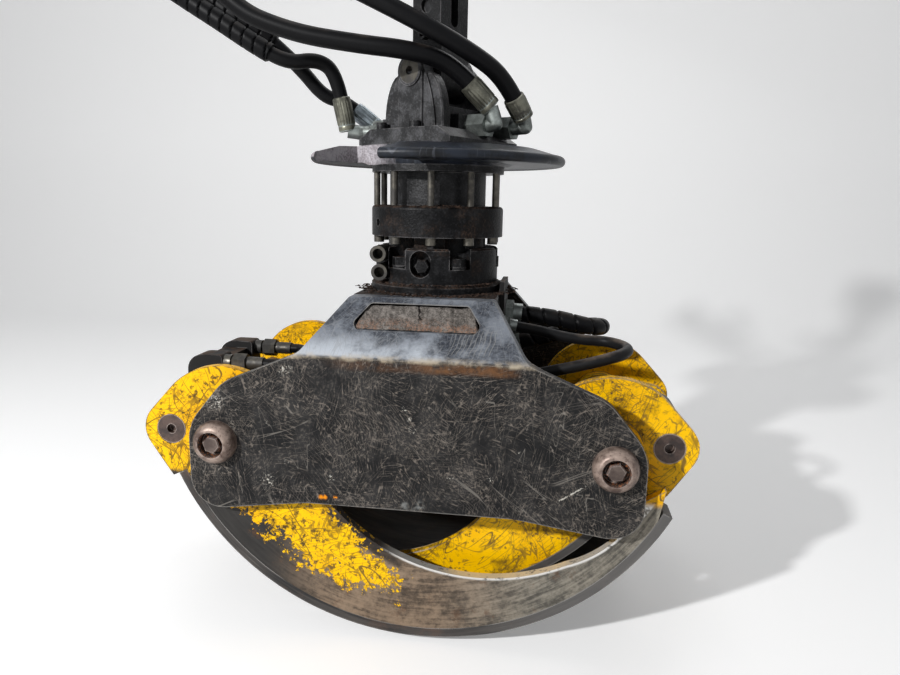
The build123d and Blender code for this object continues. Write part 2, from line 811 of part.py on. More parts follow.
# Four hoses to the crane: name, diameter, ferrule's length, route from the ferrule on the head
hoses = [
    ("a", thin_hose, 44, [
        (-152.3, -14, 492.7), (-160, -19, 535), (-184, -33, 553), (-226, -49, 544),
        (-276, -58, 571), (-330, -61, 605.5), (-378, -62, 634), (-424, -72, 664),
    ]),
    ("b", thin_hose, 36, [
        (-135.4, 20, 480.9), (-158, 15, 498), (-188, 6, 503), (-222, -9, 546),
        (-280, -30, 598), (-340, -38, 630), (-388, -34, 672),
    ]),
    ("c", thick_hose, 41, [
        (57.5, -62, 508.4), (28, -74.8, 538.7), (-26, -98, 551.6), (-105, -105, 559.6),
        (-200, -110, 574.9), (-286.7, -114, 609.9), (-333, -117, 670.4),
    ]),
    ("d", thick_hose, 30, [
        (118.9, -28, 492.8), (101.3, -46.5, 523.6), (61.2, -80, 549.5), (-20, -108, 591.3),
        (-102, -114.5, 629),
    ]),
]
# Their ports on the head: seat, nut's end and corner along the crane-tip pin, the head pin and up
head_ports = [
    ((-port_block_face, 50, left_port_rise), (-84, 50, left_port_rise), (-104, 62, left_port_rise - 2)),
    ((-port_block_face, 8, left_port_rise), (-84, 8, left_port_rise), (-94, 20, left_port_rise)),
    ((port_block_face, -5, right_port_rise), (92, -5, right_port_rise), (104, -5, right_port_rise + 2)),
    ((port_block_face, -58, right_port_rise), (102, -58, right_port_rise), (121, -60, right_port_rise + 1)),
]

# Head casting: block on the umbrella with two ears for the link's tongue
ear_inner = ear_outer - ear_thick
with BuildPart() as head:
    with BuildSketch(head_front(block_half_depth)):
        with BuildLine():
            Polyline(
                *mirrored([
                    (block_half_width, crown_rise),
                    (block_half_width, block_rise - block_drop),
                    (block_half_width - block_shoulder, block_rise),
                ]),
                close=True,
            )
        make_face()
    extrude(amount=-2 * block_half_depth)
    for reach in (ear_outer, -ear_inner):
        with BuildSketch(head_front(reach)):
            with BuildLine():
                Line((-ear_foot_half, block_rise), (ear_foot_half, block_rise))
                ThreePointArc(
                    (ear_foot_half, block_rise),
                    (ear_foot_half - 6, block_rise + ear_height / 2),
                    (ear_radius - 1, head_rise + 4),
                )
                Line((ear_radius - 1, head_rise + 4), (-ear_radius + 1, head_rise + 4))
                ThreePointArc(
                    (-ear_radius + 1, head_rise + 4),
                    (-ear_foot_half + 6, block_rise + ear_height / 2),
                    (-ear_foot_half, block_rise),
                )
            make_face()
            with Locations((0, head_rise)):
                Circle(ear_radius)
        extrude(amount=-ear_thick)
    for forward in (ear_outer + ear_boss, -ear_outer):
        with BuildSketch(head_front(forward)):
            with Locations((0, head_rise)):
                Circle(ear_boss_radius + 6)
        extrude(amount=-ear_boss)
    with BuildSketch(head_front(ear_inner)):
        with Locations((0, block_rise + saddle_height / 2)):
            Rectangle(2 * ear_foot_half - 8, saddle_height)
    extrude(amount=-2 * ear_inner)
    with BuildSketch(head_front(ear_inner)):
        with Locations((0, head_rise)):
            Circle(tongue_radius + swing_gap, mode=Mode.ADD)
    extrude(amount=-2 * ear_inner, mode=Mode.SUBTRACT)
    for hand, start, end, rise in ((1, -75, 25, right_port_rise), (-1, -30, ear_outer, left_port_rise)):
        with BuildSketch(head_level(block_rise - block_drop)):
            with Locations((hand * port_block_face / 2, -(start + end) / 2)):
                Rectangle(port_block_face, end - start)
        extrude(amount=rise + nut_flats / 2 - block_rise + block_drop)
    for port, nut_end, corner in head_ports:
        add(bar(head_point(*port), head_point(*nut_end), seat_radius), mode=Mode.SUBTRACT)
    with BuildSketch(head_front(ear_outer + 2 * ear_boss)):
        with Locations((0, head_rise)):
            Circle(head_pin_bore)
    extrude(amount=-2 * (ear_outer + 2 * ear_boss), mode=Mode.SUBTRACT)
finish(head.part, "head_casting")

pin_reach = ear_outer + ear_boss
with BuildPart() as head_pin:
    with BuildSketch(head_front(pin_reach)):
        with Locations((0, head_rise)):
            Circle(head_pin_radius)
    extrude(amount=-2 * pin_reach)
    for forward, depth in ((pin_reach, -pin_centre_depth), (-pin_reach, pin_centre_depth)):
        with BuildSketch(head_front(forward)):
            with Locations((0, head_rise)):
                Circle(grease_radius)
        extrude(amount=depth, mode=Mode.SUBTRACT)
finish(head_pin.part, "head_pin")

with BuildPart() as block_bolts:
    with BuildSketch(head_level(block_rise)):
        for side, forward in ((-50, 77), (16, 77), (-50, -77), (-16, -77)):
            with Locations((side, -forward)):
                Circle(8)
    extrude(amount=10)
finish(block_bolts.part, "head_bolts")

# Suspension link: tongue between the ears, waisted body, hub across the crane tip
with BuildPart() as link:
    with BuildSketch(head_front(tongue_half)):
        with Locations((0, head_rise)):
            Circle(tongue_radius)
    extrude(amount=-2 * tongue_half)
    with BuildSketch(head_front(link_half_depth)):
        with BuildLine():
            Polyline(*mirrored([
                (tongue_radius - 3, head_rise),
                (link_half_width, head_rise + tongue_radius + 14),
                (link_half_width, head_rise + link_length - crane_hub_radius - 8),
                (crane_hub_half - 8, head_rise + link_length - 14),
            ]), close=True)
        make_face()
    extrude(amount=-2 * link_half_depth)
    with BuildSketch(head_flank(crane_hub_half)):
        with Locations((0, head_rise + link_length)):
            Circle(crane_hub_radius)
    extrude(amount=-2 * crane_hub_half)
    for hand in (-1, 1):
        with BuildSketch(head_flank(hand * link_half_width)):
            with Locations((0, head_rise + link_length / 2 - 24)):
                SlotOverall(54, 17, rotation=90)
        extrude(amount=-hand * 15, mode=Mode.SUBTRACT)
    for forward in (link_half_depth, -link_half_depth):
        with BuildSketch(head_front(forward)):
            with Locations((0, head_rise + 98)):
                Circle(11)
        extrude(amount=-7 if forward > 0 else 7, mode=Mode.SUBTRACT)
    with BuildSketch(head_front(tongue_half)):
        with Locations((0, head_rise)):
            Circle(head_pin_bore)
    extrude(amount=-2 * tongue_half, mode=Mode.SUBTRACT)
    with BuildSketch(head_flank(crane_hub_half)):
        with Locations((0, head_rise + link_length)):
            Circle(crane_bore)
    extrude(amount=-2 * crane_hub_half, mode=Mode.SUBTRACT)
    add(bar(head_point(0, link_half_depth - 4, head_rise + 55), head_point(0, link_half_depth + 12, head_rise + 55), 7))
    add(bar(head_point(0, link_half_depth + 4, head_rise + 55), head_point(0, link_half_depth + 12, head_rise + 55), 4),
        mode=Mode.SUBTRACT)
finish(link.part, "suspension_link")

# Elbows screwed into the head, each with a nut and a bent tube, and a ferrule in line with its hose
with BuildPart() as head_fittings:
    for (port, nut_end, corner), (name, diameter, crimp, route) in zip(head_ports, hoses):
        port, nut_end, corner = (head_point(*spot) for spot in (port, nut_end, corner))
        leave = (Vector(*route[1]) - Vector(*route[0])).normalized()
        foot = tuple(Vector(*route[0]) - leave * crimp)
        add(hex_bar(port, nut_end, nut_flats))
        add(elbow([port, nut_end, corner, foot], elbow_radius))
        add(bar(foot, route[0], diameter / 2 + 2.5))
finish(head_fittings.part, "head_hose_fittings")

# The hoses and, past the top of the view, the couplings on their far ends
for name, diameter, crimp, route in hoses:
    hose, tightest = tube(route, diameter / 2)
    print(f"hose_{name} tightest bend {tightest:.0f} mm")
    finish(hose, f"hose_{name}")
    past = Vector(*route[-1]) - Vector(*route[-2])
    reach = [tuple(Vector(*route[-1]) + past.normalized() * step) for step in (0, 44, 54, 80)]
    with BuildPart() as coupling:
        add(bar(reach[0], reach[1], diameter / 2 + 3))
        add(bar(reach[1], reach[2], elbow_radius - 1))
        add(hex_bar(reach[2], reach[3], diameter + 8))
    finish(coupling.part, f"hose_{name}_coupling")

# Bracket on the hood's right end and the two hangers below the shelves, which carry the looping hoses
low_y = 20
hanger_y = 115
bracket_x = top_half_width + bracket_plate
hanger_x = top_half_width - hanger_plate - 4
with BuildPart() as brackets:
    with BuildSketch(section_at(top_half_width)):
        with Locations((0, top_rise - 26)):
            Rectangle(2 * 42, 86)
    extrude(amount=bracket_plate)
finish(brackets.part, "hose_bracket")

with BuildPart() as hangers:
    for sign in (-1, 1):
        with BuildSketch(section_at(hanger_x)):
            with Locations((sign * hanger_y, (hanger_foot + shelf_rise - shelf_plate) / 2)):
                Rectangle(hanger_width, shelf_rise - shelf_plate - hanger_foot)
        extrude(amount=hanger_plate)
finish(hangers.part, "hose_hangers")

looping = [               # name, diameter, route
    ("low", low_loop, [
        (142, -hanger_y, 90), (212, -hanger_y, 106), (282.4, -hanger_y, 127), (309.8, -67.5, 129.5),
        (282.4, -low_y, 131.5), (236, -low_y, 132), (196, -low_y, 138), (166, -low_y, 145), (134, -low_y, 149),
    ]),
    ("high", high_loop, [
        (140, low_y, 163.5), (190, low_y, 160.5), (252.4, low_y, 146), (279.8, 67.5, 140),
        (252.4, hanger_y, 134), (196, hanger_y, 113.5), (136, hanger_y, 98),
    ]),
]
for name, diameter, route in looping:
    hose, tightest = tube(route, diameter / 2)
    print(f"loop_hose_{name} tightest bend {tightest:.0f} mm")
    finish(hose, f"loop_hose_{name}")

seats = [                 # diameter, seat's x on the plate, nut's length
    (low_loop, hanger_x + hanger_plate, 16),
    (low_loop, bracket_x, 8),
    (high_loop, bracket_x, 12),
    (high_loop, hanger_x + hanger_plate, 16),
]
low_route, high_route = looping[0][2], looping[1][2]
runs = [low_route[:2], low_route[:-3:-1], high_route[:2], high_route[:-3:-1]]
with BuildPart() as loop_fittings:
    for (diameter, seat_x, nut_length), (hose_end, inner) in zip(seats, runs):
        slope = (hose_end[2] - inner[2]) / (hose_end[0] - inner[0])
        nut_x = seat_x + nut_length
        rise = hose_end[2] - slope * (hose_end[0] - nut_x)
        add(hex_bar((seat_x, hose_end[1], rise), (nut_x, hose_end[1], rise), diameter + 10))
        add(bar((nut_x, hose_end[1], rise), hose_end, diameter / 2 + 2.5))
finish(loop_fittings.part, "loop_hose_fittings")
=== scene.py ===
import bmesh
import bpy
import json
import math
import numpy as np
from mathutils import Matrix, Vector


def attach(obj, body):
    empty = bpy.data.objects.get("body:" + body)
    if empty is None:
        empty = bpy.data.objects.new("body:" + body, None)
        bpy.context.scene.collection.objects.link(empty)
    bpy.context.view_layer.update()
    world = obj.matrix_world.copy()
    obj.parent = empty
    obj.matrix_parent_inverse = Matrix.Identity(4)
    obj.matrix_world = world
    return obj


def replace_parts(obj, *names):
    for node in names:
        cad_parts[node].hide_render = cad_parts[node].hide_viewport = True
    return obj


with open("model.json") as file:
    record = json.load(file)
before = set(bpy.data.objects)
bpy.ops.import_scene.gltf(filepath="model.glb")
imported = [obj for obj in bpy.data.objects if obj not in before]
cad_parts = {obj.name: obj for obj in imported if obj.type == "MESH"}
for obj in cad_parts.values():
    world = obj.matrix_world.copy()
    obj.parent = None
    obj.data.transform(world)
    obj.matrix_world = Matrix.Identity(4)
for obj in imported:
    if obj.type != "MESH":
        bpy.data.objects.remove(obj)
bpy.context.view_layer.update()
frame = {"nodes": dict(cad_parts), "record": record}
nodes = frame["nodes"]
print("frame loaded")

# Points are (x, y, rise) in metres, where rise is measured up from the two claw pivots.
pivotZ = -0.771
headTurn = math.radians(30)
sideDir = np.array([math.cos(headTurn), -math.sin(headTurn), 0.0])      # across the head's ears
acrossDir, depthDir, upDir = np.eye(3)


frameShape = {
    "pivot": 0.28,              # claw pivots either side of the middle
    "face": 0.225,              # outer faces of the outer plates
    "crease": 0.131,            # where they lean in
    "lean": 85 / 74,            # how far they lean in for each rise
    "topHalf": 0.132,           # half depth of the top plate
}


def raised(points):
    lifted = np.array(points, float)
    lifted[..., 2] += pivotZ
    return lifted


# Camera at the photograph's place and angle
cameraSettings = {
    "place": (0.18013, -1.12364, -0.42668),
    "yaw": -7.923,
    "pitch": 11.080,
    "roll": -1.100,
    "lens": 27.95,
}


def makeCamera():
    # forward from the yaw and the downward pitch, then right and down turned by the roll
    yaw, pitch, roll = (math.radians(cameraSettings[key]) for key in ("yaw", "pitch", "roll"))
    forward = Vector((math.sin(yaw) * math.cos(pitch), math.cos(yaw) * math.cos(pitch),
                      -math.sin(pitch)))
    level = Vector((math.cos(yaw), -math.sin(yaw), 0))
    down = forward.cross(level)
    right = level * math.cos(roll) + down * math.sin(roll)
    down = down * math.cos(roll) - level * math.sin(roll)
    data = bpy.data.cameras.new("camera")
    data.sensor_width = 36
    data.lens = cameraSettings["lens"]
    data.clip_start = 0.02
    camera = bpy.data.objects.new("camera", data)
    bpy.context.collection.objects.link(camera)
    turned = Matrix((right, -down, -forward)).transposed().to_4x4()
    camera.matrix_world = Matrix.Translation(cameraSettings["place"]) @ turned
    bpy.context.scene.camera = camera


makeCamera()
print("camera placed")


# Shader values: an expression on sockets adds its Math nodes
class Value:
    def __init__(self, finish, socket):
        self.finish = finish
        self.socket = socket

    def math(self, operation, *others, first=None):
        values = [first if first is not None else self, *others]
        return self.finish.node("ShaderNodeMath", {"operation": operation}, dict(enumerate(values)))

    def __add__(self, other):
        return self.math("ADD", other)

    def __radd__(self, other):
        return self.math("ADD", other)

    def __sub__(self, other):
        return self.math("SUBTRACT", other)

    def __rsub__(self, other):
        return self.math("SUBTRACT", self, first=other)

    def __mul__(self, other):
        return self.math("MULTIPLY", other)

    def __rmul__(self, other):
        return self.math("MULTIPLY", other)

    def __truediv__(self, other):
        return self.math("DIVIDE", other)

    def __pow__(self, other):
        return self.math("POWER", other)

    def __abs__(self):
        return self.math("ABSOLUTE")

    def least(self, other):
        return self.math("MINIMUM", other)

    def most(self, other):
        return self.math("MAXIMUM", other)


class Finish:
    # a material, its Principled shader, and the few node groups that every finish here uses
    def __init__(self, name, **constants):
        self.material = bpy.data.materials.new(name)
        self.material.use_nodes = True
        self.tree = self.material.node_tree
        self.shader = self.tree.nodes["Principled BSDF"]
        for socket, value in constants.items():
            self.feed(self.shader.inputs[socket.replace("_", " ")], value)
        self.place = self.node("ShaderNodeTexCoord", out="Object")
        parts = self.node("ShaderNodeSeparateXYZ", links={0: self.place}, whole=True)
        self.x, self.y, self.z = (Value(self, parts.outputs[axis]) for axis in "XYZ")
        normal = self.node("ShaderNodeTexCoord", out="Normal")
        facing = self.node("ShaderNodeSeparateXYZ", links={0: normal}, whole=True)
        self.nx, self.ny, self.nz = (Value(self, facing.outputs[axis]) for axis in "XYZ")

    def node(self, kind, settings=None, links=None, out=0, whole=False):
        made = self.tree.nodes.new(kind)
        for key, value in (settings or {}).items():
            setattr(made, key, value)
        for key, value in (links or {}).items():
            self.feed(made.inputs[key], value)
        return made if whole else Value(self, made.outputs[out])

    def feed(self, socket, value):
        if isinstance(value, Value):
            self.tree.links.new(value.socket, socket)
        elif socket.type == "RGBA" and len(value) == 3:
            socket.default_value = (*value, 1)
        else:
            socket.default_value = value

    def vector(self, x, y, z):
        return self.node("ShaderNodeCombineXYZ", links={0: x, 1: y, 2: z})

    def step(self, value, low, high):
        # smooth step from 0 at low to 1 at high
        return self.node("ShaderNodeMapRange", {"interpolation_type": "SMOOTHSTEP"},
                         {"Value": value, "From Min": low, "From Max": high})

    def noise(self, scale, detail=3.0, rough=0.55, place=None):
        return self.node("ShaderNodeTexNoise", links={
            "Vector": place or self.place, "Scale": scale, "Detail": detail, "Roughness": rough})

    def patches(self, scale, low, high, detail=3.0, rough=0.55):
        # patches of noise, 0 where it is below low and 1 above high
        return self.step(self.noise(scale, detail, rough), low, high)

    def turned(self, angles, stretch, shift=(0, 0, 0), place=None):
        # turned first and stretched after, so that a stretched pattern runs in the turned direction
        angled = self.node("ShaderNodeMapping", {"vector_type": "POINT"}, {
            "Vector": place or self.place, "Rotation": tuple(math.radians(a) for a in angles)})
        return self.node("ShaderNodeMapping", {"vector_type": "POINT"}, {
            "Vector": angled, "Scale": stretch, "Location": shift})

    def mix(self, factor, first, second):
        return self.node("ShaderNodeMix", {"data_type": "RGBA", "clamp_factor": True},
                         {0: factor, 6: first, 7: second}, out=2)

    def warped(self, scale, amount):
        # the place pushed about by a slow noise, so that straight marks bend
        push = self.node("ShaderNodeTexNoise",
                         links={"Vector": self.place, "Scale": scale, "Detail": 1.0}, out="Color")
        centred = self.node("ShaderNodeVectorMath", {"operation": "SUBTRACT"}, {0: push, 1: (0.5,) * 3})
        moved = self.node("ShaderNodeVectorMath", {"operation": "SCALE"}, {0: centred, "Scale": amount})
        return self.node("ShaderNodeVectorMath", {"operation": "ADD"}, {0: self.place, 1: moved})

    def scratches(self, angles, plane, length, width, thin, bend=0.02, gather=9.0, share=(0.5, 0.6)):
        # thin marks where a noise stretched along a direction passes its middle value, kept in patches
        place = self.warped(6.0, bend)
        total = None
        for count, angle in enumerate(angles):
            if plane == "xz":
                turn, squeeze = (0, angle, 0), (1 / length, 1 / length, 1 / width)
            else:
                turn, squeeze = (0, 0, angle), (1 / length, 1 / width, 1 / length)
            shift = (count * 7.3, count * 3.1, count * 5.7)
            marks = self.noise(1.0, 0.0, 0.5, self.turned(turn, squeeze, shift, place))
            shift = (count * 2.9, 0, count * 1.7)
            patch = self.noise(gather, 2.0, 0.6, self.turned((0, 0, 0), (1, 1, 1), shift))
            line = self.step(abs(marks - 0.5), thin, thin * 0.3) * self.step(patch, *share)
            total = line if total is None else total.most(line)
        return total

    def edges(self, radius):
        # how far the surface's direction turns when its edges are rounded by a radius
        rounded = self.node("ShaderNodeBevel", {"samples": 6}, {"Radius": radius})
        facing = self.node("ShaderNodeNewGeometry", out="True Normal")
        turn = self.node("ShaderNodeVectorMath", {"operation": "DOT_PRODUCT"},
                         {0: rounded, 1: facing}, out="Value")
        return self.step(turn, 0.998, 0.9)

    def distance(self, x, rise):
        # how far from a point in the front view
        across, up = self.x - x, self.z - (pivotZ + rise)
        return (across * across + up * up) ** 0.5

    def angle(self, x, rise):
        # turn round a point in the front view, 0 straight below it
        return self.node("ShaderNodeMath", {"operation": "ARCTAN2"},
                         {0: self.x - x, 1: (self.z - (pivotZ + rise)) * -1.0})

    def spots(self, spots):
        # round patches at (x, rise) with a reach each, fading outwards
        total = None
        for x, rise, reach in spots:
            spot = self.step(self.distance(x, rise), reach, reach * 0.3)
            total = spot if total is None else total.most(spot)
        return total

    def beyond(self, point, direction):
        # signed distance past a line in the front view
        return (self.x - point[0]) * direction[0] + (self.z - (pivotZ + point[1])) * direction[1]

    def bump(self, height, distance, strength=1.0):
        return self.node("ShaderNodeBump",
                         links={"Height": height, "Distance": distance, "Strength": strength})

    def set(self, **links):
        for socket, value in links.items():
            self.feed(self.shader.inputs[socket.replace("_", " ")], value)
        return self.material


# Colours as they are in daylight, given as red, green and blue from 0 to 255
def tint(*colour):
    return tuple(c / 255 / 12.92 if c < 10.3 else ((c / 255 + 0.055) / 1.055) ** 2.4 for c in colour)


# Black paint of the frame, scratched in every direction, with a painted blue-grey sky reflection on the
# hood, rusty along the crease
hoodSettings = {                # spots are x, rise and reach
    "chips": (
        (-0.2795, 0.058, 0.017), (-0.174, 0.110, 0.014), (-0.005, 0.064, 0.007), (0.001, 0.050, 0.005),
        (0.006, 0.035, 0.008), (0.114, -0.029, 0.006), (0.059, -0.030, 0.006), (0.153, 0.013, 0.003),
        (-0.2045, 0.033, 0.003), (-0.1766, -0.024, 0.005), (-0.205, -0.054, 0.015),
        (-0.112, -0.044, 0.008),
    ),
    "dotted": ((0.207, -0.053), (0.819, 0.5735), 0.045),      # start, direction, length
    "smear": ((0.014, -0.0755, 0.012), (-0.004, -0.0765, 0.008)),
    "orange": ((-0.126, -0.0735, 0.0050), (-0.1205, -0.0732, 0.0052), (-0.105, -0.0725, 0.0042)),
}


def framePaint():
    finish = Finish("scratchedBlackPaint", Metallic=0.0, Specular_IOR_Level=0.15)
    settings = hoodSettings
    cloudy = finish.noise(22.0, 6.0, 0.68)
    grain = finish.noise(230.0, 3.0, 0.65)
    colour = finish.mix(finish.step(cloudy, 0.40, 0.66), tint(17, 17, 18), tint(41, 40, 40))
    dusty = finish.step(grain, 0.5, 0.68) * finish.step(cloudy, 0.42, 0.60)
    colour = finish.mix(dusty * 0.5, colour, tint(92, 87, 81))
    fine = finish.scratches((7, 41, 72, 98, 129, 161), "xz", 0.042, 0.0048, 0.024, 0.035, 16.0,
                            (0.48, 0.58))
    long = finish.scratches((24, 80, 104, 141), "xz", 0.15, 0.010, 0.006, 0.03, 7.0, (0.53, 0.6))
    colour = finish.mix(fine * finish.step(grain, 0.30, 0.62) * 0.75, colour, tint(118, 110, 102))
    colour = finish.mix(long * 0.5, colour, tint(130, 125, 118))
    # white chips, smears and two orange specks
    crumbs = finish.patches(330.0, 0.545, 0.60, 4.0, 0.75)
    start, (east, north), length = settings["dotted"]
    run = finish.beyond(start, (east, north))
    dotted = finish.step(abs(finish.beyond(start, (north, -east))), 0.0016, 0.0006)
    dotted = dotted * finish.step(run, 0.0, 0.003) * finish.step(run, length, length - 0.004)
    dotted = dotted * finish.patches(260.0, 0.47, 0.52, 2.0)
    white = (finish.spots(settings["chips"]) * crumbs).most(dotted)
    colour = finish.mix(white * 0.85, colour, tint(196, 192, 182))
    smear = finish.spots(settings["smear"]) * finish.patches(90.0, 0.4, 0.62, 4.0)
    colour = finish.mix(smear * 0.5, colour, tint(150, 152, 150))
    orange = finish.spots(settings["orange"]) * finish.patches(260.0, 0.42, 0.52, 4.0, 0.7)
    colour = finish.mix(orange * 0.9, colour, tint(232, 140, 14))
    # leaning hood: mottled steel blue as a painted sky reflection, with a paler painted reflection
    # towards the crease
    above = finish.z - (pivotZ + frameShape["crease"]) + (finish.noise(34.0, 3.0) - 0.5) * 0.007
    leaning = finish.step(above, -0.001, 0.003) * finish.step(finish.nz, 0.3, 0.5)
    shine = finish.noise(13.0, 5.0, 0.7)
    hood = finish.mix(finish.step(shine, 0.38, 0.62), tint(50, 53, 60), tint(118, 123, 131))
    hood = finish.mix(finish.step(grain, 0.48, 0.7) * 0.35, hood, tint(120, 126, 136))
    # paler painted reflection, stronger at the left just above the crease
    pale = finish.step(above, 0.036, 0.004) * finish.step(shine - (finish.x - 0.02) * 1.1, 0.36, 0.66)
    hood = finish.mix(pale * 0.85, hood, tint(184, 190, 198))
    # a patch of slanting hatch marks right of the middle
    slant = finish.beyond((0.05, 0.138), (0.94, -0.34)) + (finish.noise(30.0, 1.0) - 0.5) * 0.008
    hatch = finish.step(abs((slant * 560.0).math("SINE")), 0.5, 0.16)
    hatch = hatch * finish.step(abs(slant - 0.026), 0.032, 0.024)
    hatch = hatch * finish.step(abs(above - 0.024), 0.018, 0.011)
    hood = finish.mix(hatch * 0.5, hood, tint(138, 138, 136))
    hood = finish.mix((fine * 0.4).most(long * 0.5), hood, tint(138, 140, 143))
    colour = finish.mix(leaning, colour, hood)
    # cream line on the crease and brown rust just below it
    wide = finish.step(finish.x, -0.135, -0.06) * finish.step(finish.x, 0.155, 0.13)
    cream = finish.step(abs(above - 0.001), 0.0065, 0.0)
    cream = cream * finish.patches(34.0, 0.36, 0.62, 5.0, 0.7)
    colour = finish.mix(cream * 0.8, colour, tint(184, 170, 148))
    brown = finish.step(abs(above + 0.0085), 0.0105, 0.002)
    brown = brown * finish.patches(26.0, 0.36, 0.60, 5.0, 0.72) * wide
    brown = brown * (0.45 + finish.step(finish.x, 0.0, 0.05) * 0.55) * finish.step(finish.y, 0.0, -0.1)
    colour = finish.mix(brown * 0.85, colour, tint(108, 74, 46))
    # bare metal along the edges
    worn = finish.edges(0.0028) * finish.patches(36.0, 0.30, 0.52, 4.0, 0.7)
    colour = finish.mix(worn * 0.7, colour, tint(140, 137, 132))
    rough = 0.50 + cloudy * 0.2 - leaning * 0.12
    height = cloudy * 0.4 + grain * 0.25 - fine * 0.7 - long * 0.9
    return finish.set(Base_Color=colour, Roughness=rough, Normal=finish.bump(height, 0.0004, 0.5))


# Plain black paint of the hidden frame plates and brackets
def innerPaint():
    finish = Finish("dustyBlackPaint", Metallic=0.0, Specular_IOR_Level=0.15)
    dust = finish.step(finish.nz, 0.3, 0.8) * finish.patches(30.0, 0.35, 0.6, 5.0, 0.7)
    mottled = finish.noise(60.0, 4.0, 0.6)
    colour = finish.mix(mottled, tint(15, 15, 17), tint(38, 36, 35))
    colour = finish.mix(dust * 0.8, colour, tint(70, 54, 42))
    worn = finish.edges(0.0025) * finish.patches(40.0, 0.42, 0.58, 4.0, 0.7)
    colour = finish.mix(worn * 0.6, colour, tint(120, 118, 116))
    return finish.set(Base_Color=colour, Roughness=0.5 + mottled * 0.3,
                      Normal=finish.bump(mottled + dust, 0.0008, 0.6))


# Yellow paint of the claws, with a painted highlight on bare inner edges; on the wide claw it has flaked
# to bare steel towards the lower right
flakeSettings = {
    "yellow": (250, 194, 0),
    "shade": (222, 150, 0),
    "grime": (74, 52, 18),
    "lines": (                      # points (x, rise) and the direction in which paint stays
        ((-0.322, -0.113), (0.60, 0.80)),
        ((-0.222, -0.184), (0.21, 0.98)),
        ((-0.142, -0.205), (0.62, 0.78)),
        ((-0.061, -0.243), (0.10, 0.995)),
        ((-0.019, -0.215), (-0.93, 0.37)),
        ((-0.060, -0.158), (-0.70, -0.71)),
    ),
    "centre": (0.008, 0.106),       # of the claw's outer curve
    "inner": ((0.094, 0.095), 0.2841),
    "tip": ((0.168, -0.0052), 0.1625),
}


